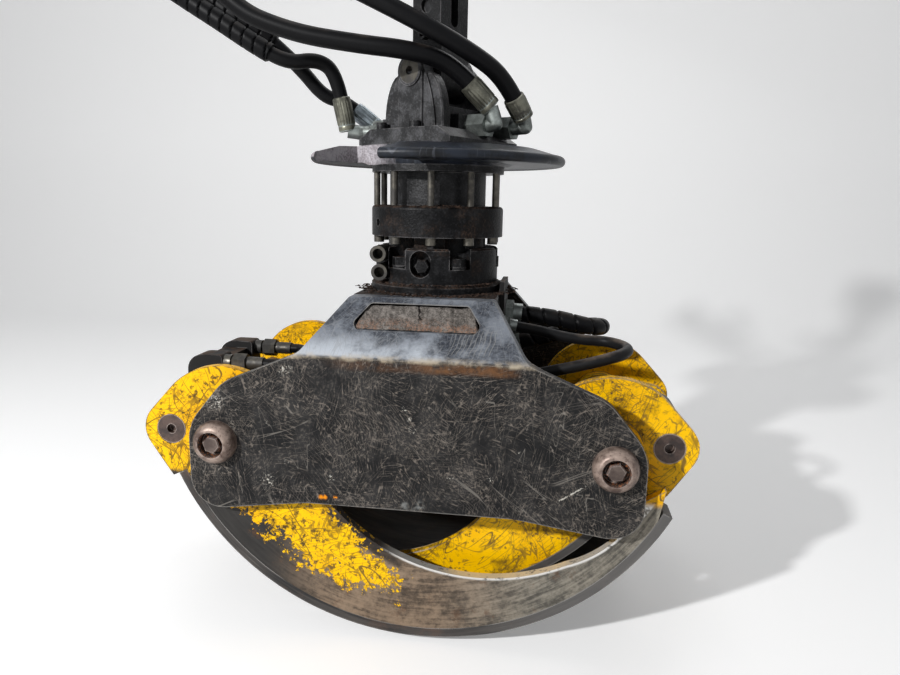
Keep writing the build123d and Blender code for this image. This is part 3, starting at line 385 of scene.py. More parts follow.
def clawPaint(name, flakes):
    finish = Finish(name, Specular_IOR_Level=0.15)
    settings = flakeSettings
    fine = finish.scratches((13, 49, 80, 111, 147), "xz", 0.04, 0.007, 0.034, 0.05, 12.0, (0.49, 0.57))
    deep = finish.scratches((30, 66, 134), "xz", 0.08, 0.022, 0.020, 0.10, 7.0, (0.52, 0.60))
    small = finish.noise(120.0, 5.0, 0.75)
    specks = finish.step(small, 0.535, 0.60) * finish.patches(17.0, 0.43, 0.56, 4.0, 0.65)
    grime = finish.patches(15.0, 0.50, 0.66, 6.0, 0.75)
    yellow, shade = tint(*settings["yellow"]), tint(*settings["shade"])
    paint = finish.mix(finish.patches(7.0, 0.42, 0.7) * 0.55, yellow, shade)
    paint = finish.mix(grime * (0.3 + small * 0.7), paint, tint(*settings["grime"]))
    marks = (fine * 0.6).most(deep * 0.8).most(specks * 0.85)
    # bare steel streaked round the claw's curve: dark at the left, brown below, grey towards the tip
    reach, angle = finish.distance(*settings["centre"]), finish.angle(*settings["centre"])
    streaks = finish.noise(1.0, 4.0, 0.62, finish.vector(reach * 210.0, angle * 6.0, finish.y * 40.0))
    blotch = finish.noise(16.0, 6.0, 0.7)
    shaded = finish.step(blotch * 0.4 + streaks * 0.3 + small * 0.3, 0.40, 0.60)
    steel = finish.mix(shaded, tint(70, 61, 53), tint(140, 121, 102))
    shaded = finish.step(streaks * 0.45 + blotch * 0.25 + small * 0.3, 0.40, 0.60)
    grey = finish.mix(shaded, tint(80, 78, 73), tint(142, 138, 127))
    steel = finish.mix(finish.step(finish.x, 0.02, 0.20) * 0.85, steel, grey)
    dark = finish.mix(streaks, tint(30, 29, 29), tint(66, 64, 62))
    steel = finish.mix(finish.step(finish.x, -0.10, -0.23), steel, dark)
    rust = finish.patches(24.0, 0.56, 0.68, 5.0, 0.75)
    steel = finish.mix(rust * 0.55, steel, tint(94, 66, 48))
    bare = marks * 0.15
    rim = finish.edges(0.0035)
    if flakes:
        # paint stays on the inner side of every line, with a crumbling edge
        kept = finish.beyond(*settings["lines"][0])
        for line in settings["lines"][1:]:
            kept = kept.least(finish.beyond(*line))
        kept = kept + (finish.noise(24.0, 5.0, 0.7) - 0.5) * 0.11
        kept = kept + (finish.noise(125.0, 4.0, 0.7) - 0.5) * 0.085
        front = finish.step(finish.z, pivotZ - 0.052, pivotZ - 0.064)
        bare = bare.most(finish.step(kept, 0.006, 0.001) * front)
        # the plate's inner edge: an arc round one centre, and near the tip round another
        arcs = settings["inner"], settings["tip"]
        inner, tip = (finish.distance(*point) - radius for point, radius in arcs)
        band = inner.least(tip + finish.step(finish.x, 0.224, 0.221))
        # painted shade: a dark band along the inner edge at the left
        innerEdgeShade = finish.step(band, 0.020, 0.012) * finish.step(finish.x, 0.0, -0.03)
        steel = finish.mix(innerEdgeShade * 0.8, steel, tint(34, 32, 32))
        # bare steel along the inner edge, which also carries the painted highlight
        bright = finish.step(band, 0.0045, 0.0015) * finish.step(finish.x, -0.05, 0.0) * front
        bare = bare.most(bright)
    else:
        # bare lower left edges, which also carry the painted highlight
        bright = rim * finish.step(finish.z, pivotZ - 0.10, pivotZ - 0.13)
        bright = bright * finish.step(finish.x, 0.04, 0.0)
    bare = bare.most(rim * finish.patches(46.0, 0.36, 0.52, 4.0, 0.7))
    smudged = finish.step(small * 0.5 + blotch * 0.5, 0.56, 0.66)
    paint = finish.mix(smudged * 0.6, paint, tint(60, 46, 26))
    paint = finish.mix(marks, paint, tint(56, 40, 18))
    colour = finish.mix(bare, paint, steel)
    # painted highlight: near-white patches along those bright edges
    edgeHighlight = bright * finish.patches(60.0, 0.30, 0.46, 4.0, 0.7)
    colour = finish.mix(edgeHighlight, colour, tint(214, 212, 208))
    rough = 0.38 + grime * 0.25 + bare * 0.12 - edgeHighlight * 0.2
    height = bare * -1.0 + streaks * 0.2 + small * 0.15
    return finish.set(Base_Color=colour, Roughness=rough, Metallic=bare * 0.25 + edgeHighlight * 0.3,
                      Normal=finish.bump(height, 0.0005, 0.7))


# Bare steel worn by timber, streaked lengthwise round the claw
def wornSteel(name, centre):
    finish = Finish(name)
    reach, angle = finish.distance(*centre), finish.angle(*centre)
    streaks = finish.noise(1.0, 5.0, 0.65, finish.vector(reach * 420.0, angle * 4.0, finish.y * 330.0))
    wide = finish.noise(1.0, 3.0, 0.6, finish.vector(reach * 90.0, angle * 3.0, finish.y * 40.0))
    rust = finish.patches(11.0, 0.52, 0.74, 6.0, 0.7)
    right = finish.step(finish.x, 0.05, 0.25)
    shaded = finish.step(streaks * 0.5 + wide * 0.5, 0.38, 0.62)
    colour = finish.mix(shaded, tint(30, 29, 29), tint(70, 66, 63))
    colour = finish.mix(rust * 0.7, colour, tint(84, 62, 48))
    colour = finish.mix(right * 0.55, colour, tint(108, 106, 104))
    colour = finish.mix(finish.step(streaks, 0.62, 0.74) * 0.5, colour, tint(128, 124, 119))
    worn = finish.edges(0.003) * finish.step(wide, 0.4, 0.55)
    colour = finish.mix(worn * 0.6, colour, tint(168, 166, 162))
    return finish.set(Base_Color=colour, Roughness=0.42 + streaks * 0.3, Metallic=0.35 - rust * 0.3,
                      Normal=finish.bump(streaks * 0.5 + rust * 0.5, 0.0007, 0.7))


# Browned, polished steel of the domes, dark with orange crumbs in the ring round each bolt
domeSettings = {
    "ring": (0.0118, 0.0182),
    "dome": ((78, 62, 55), (150, 132, 121)),
    "pin": ((44, 34, 31), (84, 66, 58)),
}


def brownSteel(name, domes):
    finish = Finish(name)
    mottled = finish.noise(48.0, 5.0, 0.65)
    fine = finish.noise(260.0, 3.0, 0.6)
    dark, light = domeSettings["dome" if domes else "pin"]
    colour = finish.mix(finish.step(mottled, 0.34, 0.66), tint(*dark), tint(*light))
    colour = finish.mix(finish.step(fine, 0.56, 0.68) * 0.6, colour, tint(62, 40, 30))
    ring = 0.0
    if domes:
        across, up = abs(finish.x) - frameShape["pivot"], finish.z - pivotZ
        out = (across * across + up * up) ** 0.5
        inner, outer = domeSettings["ring"]
        ring = finish.step(out, inner - 0.0006, inner) * finish.step(out, outer + 0.0006, outer)
        crumbs = finish.patches(380.0, 0.52, 0.58, 3.0, 0.7)
        crumbs = finish.mix(crumbs, tint(30, 22, 18), tint(140, 84, 48))
        bolt = finish.step(out, inner + 0.001, inner - 0.001)
        colour = finish.mix(bolt * 0.75, colour, tint(64, 54, 50))
        colour = finish.mix(ring, colour, crumbs)
    worn = finish.edges(0.0025)
    colour = finish.mix(worn * finish.step(mottled, 0.35, 0.5) * 0.6, colour, tint(190, 176, 168))
    return finish.set(Base_Color=colour, Roughness=0.30 + mottled * 0.28 + ring * 0.3,
                      Metallic=(0.6 if domes else 0.35) - mottled * 0.25 - ring * 0.4,
                      Normal=finish.bump(mottled * 0.6 + fine * 0.4, 0.0005, 0.6))


# Greasy black castings, pebbled, brown with dirt where it settles, with a dark and a light tone
def greasyCast(name, dirt, pebbles, tones, gloss):
    finish = Finish(name, Coat_Roughness=0.35, Specular_IOR_Level=gloss)
    grain = finish.noise(330.0, 3.0, 0.6)
    lumps = finish.noise(46.0, 5.0, 0.65)
    dark, light = (tint(tone, tone, tone + 1) for tone in tones)
    colour = finish.mix(finish.step(lumps, 0.4, 0.68), dark, light)
    pebbled = finish.step(grain * 0.6 + lumps * 0.4, 0.48, 0.66)
    colour = finish.mix(pebbled * pebbles, colour, tint(72, 72, 75))
    settled = finish.step(finish.nz + (lumps - 0.5) * 1.2, 0.35, 0.75)
    settled = settled * finish.patches(24.0, 0.36, 0.6, 5.0, 0.7)
    patches = finish.patches(18.0, 0.5, 0.7, 5.0, 0.72)
    brown = (settled * dirt).most(patches * dirt * 0.55)
    earth = finish.patches(260.0, 0.46, 0.6, 4.0, 0.7)
    colour = finish.mix(brown, colour, finish.mix(earth, tint(32, 26, 23), tint(72, 57, 48)))
    worn = finish.edges(0.0025) * finish.step(lumps, 0.4, 0.56)
    colour = finish.mix(worn * 0.6, colour, tint(112, 110, 110))
    return finish.set(Base_Color=colour, Roughness=0.36 + brown * 0.45 + grain * 0.12,
                      Coat_Weight=gloss * 0.4 * (1 - brown),
                      Normal=finish.bump(grain * 0.55 + lumps * 0.45, 0.0016, 0.8))


# Umbrella: polished black with a painted bluish sheen at the right; at the left pale dust lightened as
# painted sunlight, with a rusty rim
def umbrellaPaint():
    finish = Finish("umbrellaPaint", Coat_Roughness=0.3, Specular_IOR_Level=0.18)
    grain = finish.noise(300.0, 3.0, 0.6)
    lumps = finish.noise(30.0, 5.0, 0.65)
    left = finish.step(finish.x + (lumps - 0.5) * 0.12, -0.05, -0.10)
    # blue-black tone: a painted sky sheen
    colour = finish.mix(finish.step(lumps, 0.38, 0.66), tint(6, 7, 10), tint(26, 31, 40))
    # pale dust at the left, made brighter than the dust itself to paint the low sun on it, also on the
    # side faces
    dusty = finish.step(grain * 0.4 + lumps * 0.6, 0.42, 0.6)
    dusty = finish.mix(dusty, tint(134, 128, 132), tint(186, 181, 186))
    colour = finish.mix(left * finish.step(finish.nz, -0.3, 0.1), colour, dusty)
    rim = finish.step(finish.z, pivotZ + 0.402, pivotZ + 0.398) * left
    rim = rim * finish.patches(22.0, 0.38, 0.58, 5.0, 0.7)
    colour = finish.mix(rim * 0.35, colour, tint(66, 48, 40))
    fine = finish.scratches((15, 62, 108, 150), "xy", 0.06, 0.009, 0.03, 0.03, 9.0, (0.54, 0.6))
    colour = finish.mix(fine * 0.22, colour, tint(110, 114, 124))
    return finish.set(Base_Color=colour, Roughness=0.34 + lumps * 0.2 + left * 0.2,
                      Coat_Weight=0.1 - left * 0.1,
                      Normal=finish.bump(grain * 0.4 + lumps * 0.6, 0.0010, 0.7))


# Plated steel of ferrules, nuts and couplings, yellowed and greasy
def platedSteel(name, clean, grease):
    finish = Finish(name)
    mottled = finish.noise(48.0, 5.0, 0.65)
    tone = finish.mix(finish.step(mottled, 0.35, 0.65), tint(*clean), tint(*(0.68 * c for c in clean)))
    greasy = finish.patches(26.0, 0.60 - grease * 0.16, 0.74 - grease * 0.16, 5.0, 0.7)
    colour = finish.mix(greasy * 0.8, tone, tint(34, 32, 31))
    return finish.set(Base_Color=colour, Roughness=0.28 + mottled * 0.22 + greasy * 0.2,
                      Metallic=0.8 - greasy * 0.5, Normal=finish.bump(mottled, 0.0004, 0.5))


# Black hose cover, satin, with a little dust
def hoseRubber(name, dark, light, dusty):
    finish = Finish(name, Metallic=0.0, Specular_IOR_Level=0.1)
    cloudy = finish.noise(30.0, 4.0, 0.65)
    dust = finish.step(finish.nz + cloudy, 0.9, 1.5) * finish.patches(14.0, 0.42, 0.6, 4.0, 0.7)
    colour = finish.mix(cloudy, tint(*dark), tint(*light))
    colour = finish.mix(dust * dusty, colour, tint(86, 76, 68))
    return finish.set(Base_Color=colour, Roughness=0.34 + cloudy * 0.2,
                      Normal=finish.bump(finish.noise(420.0, 2.0), 0.0002, 0.5))


# Fine bark dust packed behind the hood's slot, with rusty crumbs low down and one crack
def barkDirt():
    finish = Finish("barkDirt", Metallic=0.0, Roughness=0.95, Specular_IOR_Level=0.2)
    grains = finish.noise(520.0, 3.0, 0.7)
    lumps = finish.noise(110.0, 5.0, 0.75)
    mixed = lumps * 0.5 + grains * 0.5
    colour = finish.mix(finish.step(mixed, 0.38, 0.62), tint(66, 62, 58), tint(128, 122, 117))
    low = finish.step(finish.z, pivotZ + 0.184, pivotZ + 0.168)
    low = low * finish.patches(70.0, 0.42, 0.56, 4.0, 0.7)
    colour = finish.mix(low * finish.step(grains, 0.44, 0.56) * 0.55, colour, tint(146, 98, 66))
    bend = (finish.noise(60.0, 3.0) - 0.5) * 0.022
    crack = finish.step(abs(finish.x - 0.001 + bend), 0.0022, 0.0008)
    crack = crack * finish.step(finish.z, pivotZ + 0.176, pivotZ + 0.180)
    colour = finish.mix(crack, colour, tint(16, 11, 9))
    return finish.set(Base_Color=colour, Normal=finish.bump(mixed - crack, 0.0012, 0.9))


# Loose chips of bark
def barkChips():
    finish = Finish("barkChips", Metallic=0.0, Specular_IOR_Level=0.2)
    tone = finish.noise(210.0, 3.0, 0.7)
    colour = finish.mix(finish.step(tone, 0.36, 0.64), tint(22, 17, 15), tint(70, 54, 45))
    return finish.set(Base_Color=colour, Roughness=0.8 + tone * 0.15,
                      Normal=finish.bump(tone, 0.0006, 0.8))


# Chromed rod with a black eye at its end
def chromed():
    finish = Finish("hardChrome")
    film = finish.noise(20.0, 4.0, 0.6)
    eye = finish.step(finish.x, 0.312, 0.315)
    chrome = finish.mix(film, tint(186, 188, 192), tint(150, 150, 150))
    black = finish.mix(film, tint(18, 18, 19), tint(48, 46, 45))
    return finish.set(Base_Color=finish.mix(eye, chrome, black), Metallic=1.0 - eye * 0.9,
                      Roughness=0.08 + film * 0.16 + eye * 0.35)


# Which finish each piece wears: by its node's name, or else by its slot
finishes = {
    "frame": framePaint(),
    "inner": innerPaint(),
    "wideYellow": clawPaint("flakedYellowPaint", True),
    "yellow": clawPaint("scratchedYellowPaint", False),
    "wideWear": wornSteel("wornSteelStrip", (0.008, 0.106)),
    "narrowWear": wornSteel("wornSteelShell", (0.0, 0.104)),
    "dome": brownSteel("brownedSteel", True),
    "pin": brownSteel("darkPinSteel", False),
    "cast": greasyCast("greasyCasting", 0.25, 0.35, (8, 34), 0.16),
    # head casting: lighter tones than the other castings, partly pebbled texture and partly painted sheen
    # from the sun
    "pebbled": greasyCast("pebbledCastingWithSheen", 0.12, 0.9, (24, 62), 0.2),
    "dirtyCast": greasyCast("dirtyCasting", 0.95, 0.2, (5, 24), 0.08),
    "umbrella": umbrellaPaint(),
    "plated": platedSteel("platedSteel", (150, 156, 152), 0.3),
    "greased": platedSteel("greasedSteel", (96, 92, 84), 1.0),
    "ferrule": platedSteel("ferruleSteel", (116, 115, 103), 0.5),
    "blueFerrule": platedSteel("blueFerruleSteel", (146, 156, 162), 0.0),
    "hose": hoseRubber("hoseCover", (4, 4, 5), (11, 11, 13), 0.2),
    # the thin hose's cover: lighter grey, partly dust and partly painted light
    "dustyPaintedLightHose": hoseRubber("dustyPaintedLightHoseCover", (12, 12, 14), (34, 34, 35), 0.9),
    "dirt": barkDirt(),
    "bark": barkChips(),
    "chrome": chromed(),
}
slotFinishes = {
    "frame_black": "inner", "claw_yellow": "yellow", "worn_steel": "wideWear", "cast_black": "cast",
    "cylinder_black": "inner", "pin_steel": "pin", "bright_steel": "plated", "rod_chrome": "chrome",
    "hose_rubber": "hose",
}
nodeFinishes = {
    "frame_front_plate": "frame", "frame_rear_plate": "frame", "frame_top_plate": "dirtyCast",
    "frame_shelves": "dirtyCast", "left_claw_front_plate": "wideYellow",
    "left_claw_rear_plate": "wideYellow", "right_claw_shell": "narrowWear", "rotator_base": "dirtyCast",
    "rotator_collar": "dirtyCast", "rotator_sleeves": "greased", "flange_bolts": "dirtyCast",
    "head_bolts": "cast", "rotator_tie_rods": "greased", "left_pivot_pins": "dome",
    "right_pivot_pins": "dome", "head_casting": "pebbled", "head_pin": "greased",
    "suspension_link": "cast", "rotator_umbrella": "umbrella", "cylinder_hose_ends": "greased",
    "cylinder_hose_clamp": "cast",
}


def dressNodes():
    for part in frame["record"]["subparts"]:
        name = part["node"]
        node = nodes[name]
        material = finishes[nodeFinishes.get(name, slotFinishes[part["material_slot"]])]
        node.data.materials.clear()
        node.data.materials.append(material)


dressNodes()
print("finishes made")


# New pieces: each grid of points becomes a skin of four-sided faces
def skinMesh(name, grids, closeAround=True, solid=True):
    points, faces, start = [], [], 0
    for grid in grids:
        rows, columns = grid.shape[:2]
        index = start + np.arange(rows * columns).reshape(rows, columns)
        near = index if closeAround else index[:, :-1]
        far = np.roll(index, -1, axis=1) if closeAround else index[:, 1:]
        faces.append(np.stack([near[:-1], far[:-1], far[1:], near[1:]], axis=-1).reshape(-1, 4))
        points.append(grid.reshape(-1, 3))
        start += rows * columns
    points, faces = np.concatenate(points), np.concatenate(faces)
    mesh = bpy.data.meshes.new(name)
    mesh.vertices.add(len(points))
    mesh.vertices.foreach_set("co", np.ascontiguousarray(points, float).ravel())
    mesh.loops.add(faces.size)
    mesh.loops.foreach_set("vertex_index", faces.ravel())
    mesh.polygons.add(len(faces))
    mesh.polygons.foreach_set("loop_start", np.arange(len(faces)) * 4)
    mesh.update(calc_edges=True)
    mesh.validate()
    edit = bmesh.new()
    edit.from_mesh(mesh)
    bmesh.ops.remove_doubles(edit, verts=edit.verts, dist=1e-6)
    bmesh.ops.dissolve_degenerate(edit, dist=1e-7, edges=edit.edges)
    if solid:
        bmesh.ops.recalc_face_normals(edit, faces=edit.faces)
    edit.to_mesh(mesh)
    edit.free()
    return mesh


def addPiece(name, mesh, finish, body):
    mesh.polygons.foreach_set("use_smooth", np.full(len(mesh.polygons), True))
    mesh.set_sharp_from_angle(angle=math.radians(38))
    mesh.materials.clear()
    mesh.materials.append(finishes[finish])
    piece = bpy.data.objects.new(name, mesh)
    bpy.context.collection.objects.link(piece)
    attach(piece, body)
    return piece


def gridPiece(name, grids, finish, body, closeAround=True, solid=True):
    return addPiece(name, skinMesh(name, grids, closeAround, solid), finish, body)


def carved(mesh, cutters):
    # the mesh with each cutter's volume taken out
    holders = [bpy.data.objects.new("carved", item) for item in (mesh, *cutters)]
    for holder in holders:
        bpy.context.collection.objects.link(holder)
    for cutter in holders[1:]:
        cut = holders[0].modifiers.new("cut", "BOOLEAN")
        cut.operation, cut.solver, cut.object = "DIFFERENCE", "EXACT", cutter
    graph = bpy.context.evaluated_depsgraph_get()
    result = bpy.data.meshes.new_from_object(holders[0].evaluated_get(graph))
    for holder in holders:
        bpy.data.objects.remove(holder)
    return result


def prismGrid(outline, origin, side, up, start, end, chamfer=0.0):
    # outline (a, b) laid out on side and up and swept along their cross product,
    # its far rim chamfered, both ends closed
    out = np.cross(side, up)
    outline = np.asarray(outline, float)
    ring = np.asarray(origin, float) + outline[:, :1] * side + outline[:, 1:] * up
    middle = np.broadcast_to(ring.mean(axis=0), ring.shape)
    size = np.linalg.norm(ring - middle, axis=1).mean()
    rim = middle + (ring - middle) * (1 - chamfer / size)
    way = 1 if end > start else -1
    return np.stack([middle + out * start, ring + out * start, ring + out * (end - way * chamfer),
                     rim + out * end, middle + out * end])


def polygon(radius, corners, turn=0.0):
    angles = np.radians(turn) + np.linspace(0, 2 * math.pi, corners, endpoint=False)
    return radius * np.column_stack([np.cos(angles), np.sin(angles)])


def hexagon(flats, turn=0.0):
    return polygon(flats / 2 / math.cos(math.pi / 6), 6, turn)


def crossFrame(direction):
    # two unit vectors square to a direction
    direction = direction / np.linalg.norm(direction)
    helper = upDir if abs(direction[2]) < 0.9 else acrossDir
    first = np.cross(helper, direction)
    first /= np.linalg.norm(first)
    return first, np.cross(direction, first)


def turnedGrid(start, end, profile, sides, flutes=0, depth=0.0):
    # point = axis at u * length + radius(u) * (cos a, sin a), the radius waved by flutes * a;
    # each row of the profile is u, radius and the share of the wave
    start, end = np.asarray(start, float), np.asarray(end, float)
    profile = np.array(profile, float)
    first, second = crossFrame(end - start)
    angles = np.linspace(0, 2 * math.pi, sides, endpoint=False)
    share = profile[:, 2, None] if profile.shape[1] > 2 else 1.0
    radius = profile[:, 1, None] * (1 + depth * np.cos(flutes * angles) * share)
    centres = start + profile[:, 0, None] * (end - start)
    spokes = np.cos(angles)[:, None] * first + np.sin(angles)[:, None] * second
    return centres[:, None] + radius[..., None] * spokes[None]


def nurbsCurve(name, points):
    # a curve whose control points are the given points, pulled to its ends
    curve = bpy.data.curves.new(name, "CURVE")
    curve.dimensions = "3D"
    spline = curve.splines.new("NURBS")
    spline.points.add(len(points) - 1)
    spline.points.foreach_set("co", np.column_stack([points, np.ones(len(points))]).ravel())
    spline.order_u = 3
    spline.use_endpoint_u = True
    curve.resolution_u = 16
    return curve


def nurbsLine(points):
    # the points of that curve, as Blender's own conversion gives them
    curve = nurbsCurve("route", np.asarray(points, float))
    holder = bpy.data.objects.new("route", curve)
    mesh = bpy.data.meshes.new_from_object(holder)
    line = np.empty(len(mesh.vertices) * 3)
    mesh.vertices.foreach_get("co", line)
    bpy.data.objects.remove(holder)
    bpy.data.curves.remove(curve)
    bpy.data.meshes.remove(mesh)
    return line.reshape(-1, 3)


def evenly(line, spacing):
    # the same line with points a fixed distance apart
    lengths = np.concatenate([[0], np.cumsum(np.linalg.norm(np.diff(line, axis=0), axis=1))])
    count = max(4, int(lengths[-1] / spacing))
    at = np.linspace(0, lengths[-1], count)
    return np.stack([np.interp(at, lengths, line[:, axis]) for axis in range(3)], axis=1), at


def lineFrames(line):
    # directions along a line, and two vectors square to each, turned as little as possible along it
    along = np.gradient(line, axis=0)
    along /= np.linalg.norm(along, axis=1)[:, None]
    first, _ = crossFrame(along[0])
    firsts = np.empty_like(line)
    for index, direction in enumerate(along):
        first = first - direction * first.dot(direction)
        first /= np.linalg.norm(first)
        firsts[index] = first
    return along, firsts, np.cross(along, firsts)


def tubeGrid(line, radius, sides):
    # point = line(s) + radius(s, a) * (cos a, sin a) in the plane square to the line
    along, first, second = lineFrames(line)
    angles = np.linspace(0, 2 * math.pi, sides, endpoint=False)
    cosines, sines = np.cos(angles)[None, :, None], np.sin(angles)[None, :, None]
    spokes = cosines * first[:, None] + sines * second[:, None]
    radius = np.broadcast_to(np.asarray(radius, float), (len(line), sides))
    grid = line[:, None] + radius[..., None] * spokes
    caps = [np.repeat(line[:1][None], sides, axis=1), grid, np.repeat(line[-1:][None], sides, axis=1)]
    return np.concatenate(caps)


def waves(x, y, seed, size, count=14):
    # rough height: sine waves of random directions and lengths, added and scaled to about one
    random = np.random.default_rng(seed)
    turns = random.uniform(0, math.pi, count)
    lengths = size * random.uniform(0.35, 1.6, count)
    shifts = random.uniform(0, 2 * math.pi, count)
    total = np.zeros_like(x)
    for turn, length, shift in zip(turns, lengths, shifts):
        along = x * math.cos(turn) + y * math.sin(turn)
        total += np.sin(along * 2 * math.pi / length + shift) * length
    return total / (size * math.sqrt(count) * 0.7)


def spiralGroove(at, pitch, sides, start):
    # 1 in a narrow groove that winds round a hose once each pitch, 0 on the band beside it
    angles = np.linspace(0, 2 * math.pi, sides, endpoint=False)
    phase = np.mod(at[:, None] / pitch - angles[None] / (2 * math.pi), 1.0)
    return np.clip((phase - start) / 0.06, 0, 1) * np.clip((1 - phase) / 0.06, 0, 1)


# Hoses to the crane, each with its route's control points from the ferrule on the head
hoseSettings = {                # wrap: where it starts and ends along the hose, pitch, thickness
    "hose_a": {"diameter": 0.022, "wrap": (0.145, 0.335, 0.019, 0.0035), "points": [
        (-0.1523, -0.014, 0.4927), (-0.160, -0.019, 0.535), (-0.184, -0.033, 0.553),
        (-0.226, -0.049, 0.544), (-0.276, -0.058, 0.571), (-0.330, -0.061, 0.6055),
        (-0.378, -0.062, 0.634), (-0.424, -0.072, 0.664)]},
    "hose_b": {"diameter": 0.022, "wrap": (0.165, 0.31, 0.019, 0.0035), "points": [
        (-0.1354, 0.020, 0.4809), (-0.158, 0.015, 0.498), (-0.188, 0.006, 0.503),
        (-0.222, -0.009, 0.546), (-0.280, -0.030, 0.598), (-0.340, -0.038, 0.630),
        (-0.388, -0.034, 0.672)]},
    "hose_c": {"diameter": 0.026, "points": [
        (0.0575, -0.062, 0.5084), (0.028, -0.0748, 0.5387), (-0.026, -0.098, 0.5516),
        (-0.105, -0.105, 0.5596), (-0.200, -0.110, 0.5749), (-0.2867, -0.114, 0.6099),
        (-0.333, -0.117, 0.6704)]},
    "hose_d": {"diameter": 0.026, "points": [
        (0.1189, -0.028, 0.4928), (0.1013, -0.0465, 0.5236), (0.0612, -0.080, 0.5495),
        (-0.020, -0.108, 0.5913), (-0.102, -0.1145, 0.629)]},
}


def wrapHose(name, line, settings):
    # spiral band round the hose: its radius falls at the band's edge, once each turn
    start, end, pitch, thick = settings["wrap"]
    line, at = evenly(line, 0.0016)
    kept = (at > start) & (at < end)
    line, at = line[kept], at[kept]
    radius = settings["diameter"] / 2 + thick - thick * 0.75 * spiralGroove(at, pitch, 32, 0.84)
    return gridPiece(name, [tubeGrid(line, radius, 32)], "hose", "head")


def makeHoses():
    for name, settings in hoseSettings.items():
        points = raised(settings["points"])
        curve = nurbsCurve(name + "_cover", points)
        curve.bevel_depth = settings["diameter"] / 2
        curve.bevel_resolution = 8
        curve.use_fill_caps = True
        curve.materials.append(finishes["hose"])
        hose = bpy.data.objects.new(name + "_cover", curve)
        bpy.context.collection.objects.link(hose)
        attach(hose, "head")
        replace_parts(hose, name)
        line = nurbsLine(points)
        if "wrap" in settings:
            wrapHose(name + "_wrap", line, settings)


makeHoses()
print("hoses laid")

# Ribbed ferrules over the crimped hose ends on the head
ferruleSettings = {
    "hose_a": {"length": 0.044, "radius": 0.0142},
    "hose_b": {"length": 0.036, "radius": 0.0142, "finish": "blueFerrule"},
    "hose_c": {"length": 0.041, "radius": 0.0163},
    "hose_d": {"length": 0.030, "radius": 0.0163},
}
ferruleProfile = [              # place along the sleeve, share of its radius, share of the fluting
    (-0.02, 0.74, 0), (0.0, 0.9, 0), (0.03, 0.97, 0), (0.14, 0.98, 0), (0.17, 0.93, 0.2),
    (0.22, 0.97, 1), (0.86, 1.0, 1), (0.92, 0.97, 0.4), (0.96, 0.99, 0), (1.03, 0.97, 0), (1.06, 0.86, 0),
]


def makeFerrules():
    for name, settings in ferruleSettings.items():
        points = raised(hoseSettings[name]["points"])
        leave = points[1] - points[0]
        leave /= np.linalg.norm(leave)
        foot = points[0] - leave * settings["length"]
        profile = [(u, share * settings["radius"], flute) for u, share, flute in ferruleProfile]
        sleeve = turnedGrid(foot, points[0] + leave * 0.004, profile, 96, 20, 0.028)
        gridPiece(name + "_ferrule", [sleeve], settings.get("finish", "ferrule"), "head")


makeFerrules()

# Spiral guard round the thick looping hose, and the plain thin one beside it
loopSettings = {
    "low": {"node": "loop_hose_low", "radius": 0.0085, "finish": "dustyPaintedLightHose", "points": [
        (0.142, -0.115, 0.090), (0.212, -0.115, 0.106), (0.2824, -0.115, 0.127),
        (0.3098, -0.0675, 0.1295), (0.2824, -0.020, 0.1315), (0.236, -0.020, 0.132),
        (0.196, -0.020, 0.138), (0.166, -0.020, 0.145), (0.134, -0.020, 0.149)]},
    "high": {"node": "loop_hose_high", "radius": 0.014, "finish": "hose", "points": [
        (0.140, 0.020, 0.1635), (0.190, 0.020, 0.1605), (0.2524, 0.020, 0.146),
        (0.2798, 0.0675, 0.140), (0.2524, 0.115, 0.134), (0.196, 0.115, 0.1135), (0.136, 0.115, 0.098)]},
    "pitch": 0.026,
    "step": 0.0028,
}


def makeLoops():
    low, high = loopSettings["low"], loopSettings["high"]
    line, _ = evenly(nurbsLine(raised(low["points"])), 0.004)
    grid = tubeGrid(line, low["radius"], 20)
    piece = gridPiece("loop_hose_low_cover", [grid], low["finish"], "frame")
    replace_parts(piece, low["node"])
    line, at = evenly(nurbsLine(raised(high["points"])), 0.0018)
    radius = high["radius"] - loopSettings["step"] * spiralGroove(at, loopSettings["pitch"], 40, 0.82)
    grid = tubeGrid(line, radius, 40)
    piece = gridPiece("loop_hose_high_guard", [grid], high["finish"], "frame")
    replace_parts(piece, high["node"])


makeLoops()
print("ferrules and loops made")

# Pivot pins with domed caps, each with a hexagon head in its recess
pinSettings = {
    "inner": 0.058, "radius": 0.02495,
    "flats": 0.023, "head": 0.0125, "floor": 0.006, "turn": 12, "chamfer": 0.0016,
    "dome": (                        # distance out from the frame plate, radius
        (0.006, 0.0), (0.006, 0.0178), (0.0190, 0.0180), (0.0208, 0.0190), (0.0210, 0.0208),
        (0.0200, 0.0235), (0.0170, 0.0268), (0.0130, 0.0292), (0.0090, 0.0305), (0.0060, 0.0310),
        (0.0, 0.0310), (0.0, 0.02495),
    ),
}


def makePins():
    settings = pinSettings
    inner = settings["inner"] - frameShape["face"]
    profile = [*settings["dome"], (inner, settings["radius"]), (inner, 0.0)]
    floor, top = settings["floor"] - 0.001, settings["floor"] + settings["head"]
    for name, hand in (("left", -1), ("right", 1)):
        head = hexagon(settings["flats"], settings["turn"] * hand)
        grids = []
        for end in (-1, 1):
            foot = np.array([hand * frameShape["pivot"], end * frameShape["face"], pivotZ])
            grids.append(turnedGrid(foot, foot + end * depthDir, profile, 64))
            grids.append(prismGrid(head, foot, acrossDir, upDir, -end * floor, -end * top,
                                   settings["chamfer"]))
        piece = gridPiece(name + "_dome_pins", grids, "dome", "frame")
        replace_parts(piece, name + "_pivot_pins")


makePins()

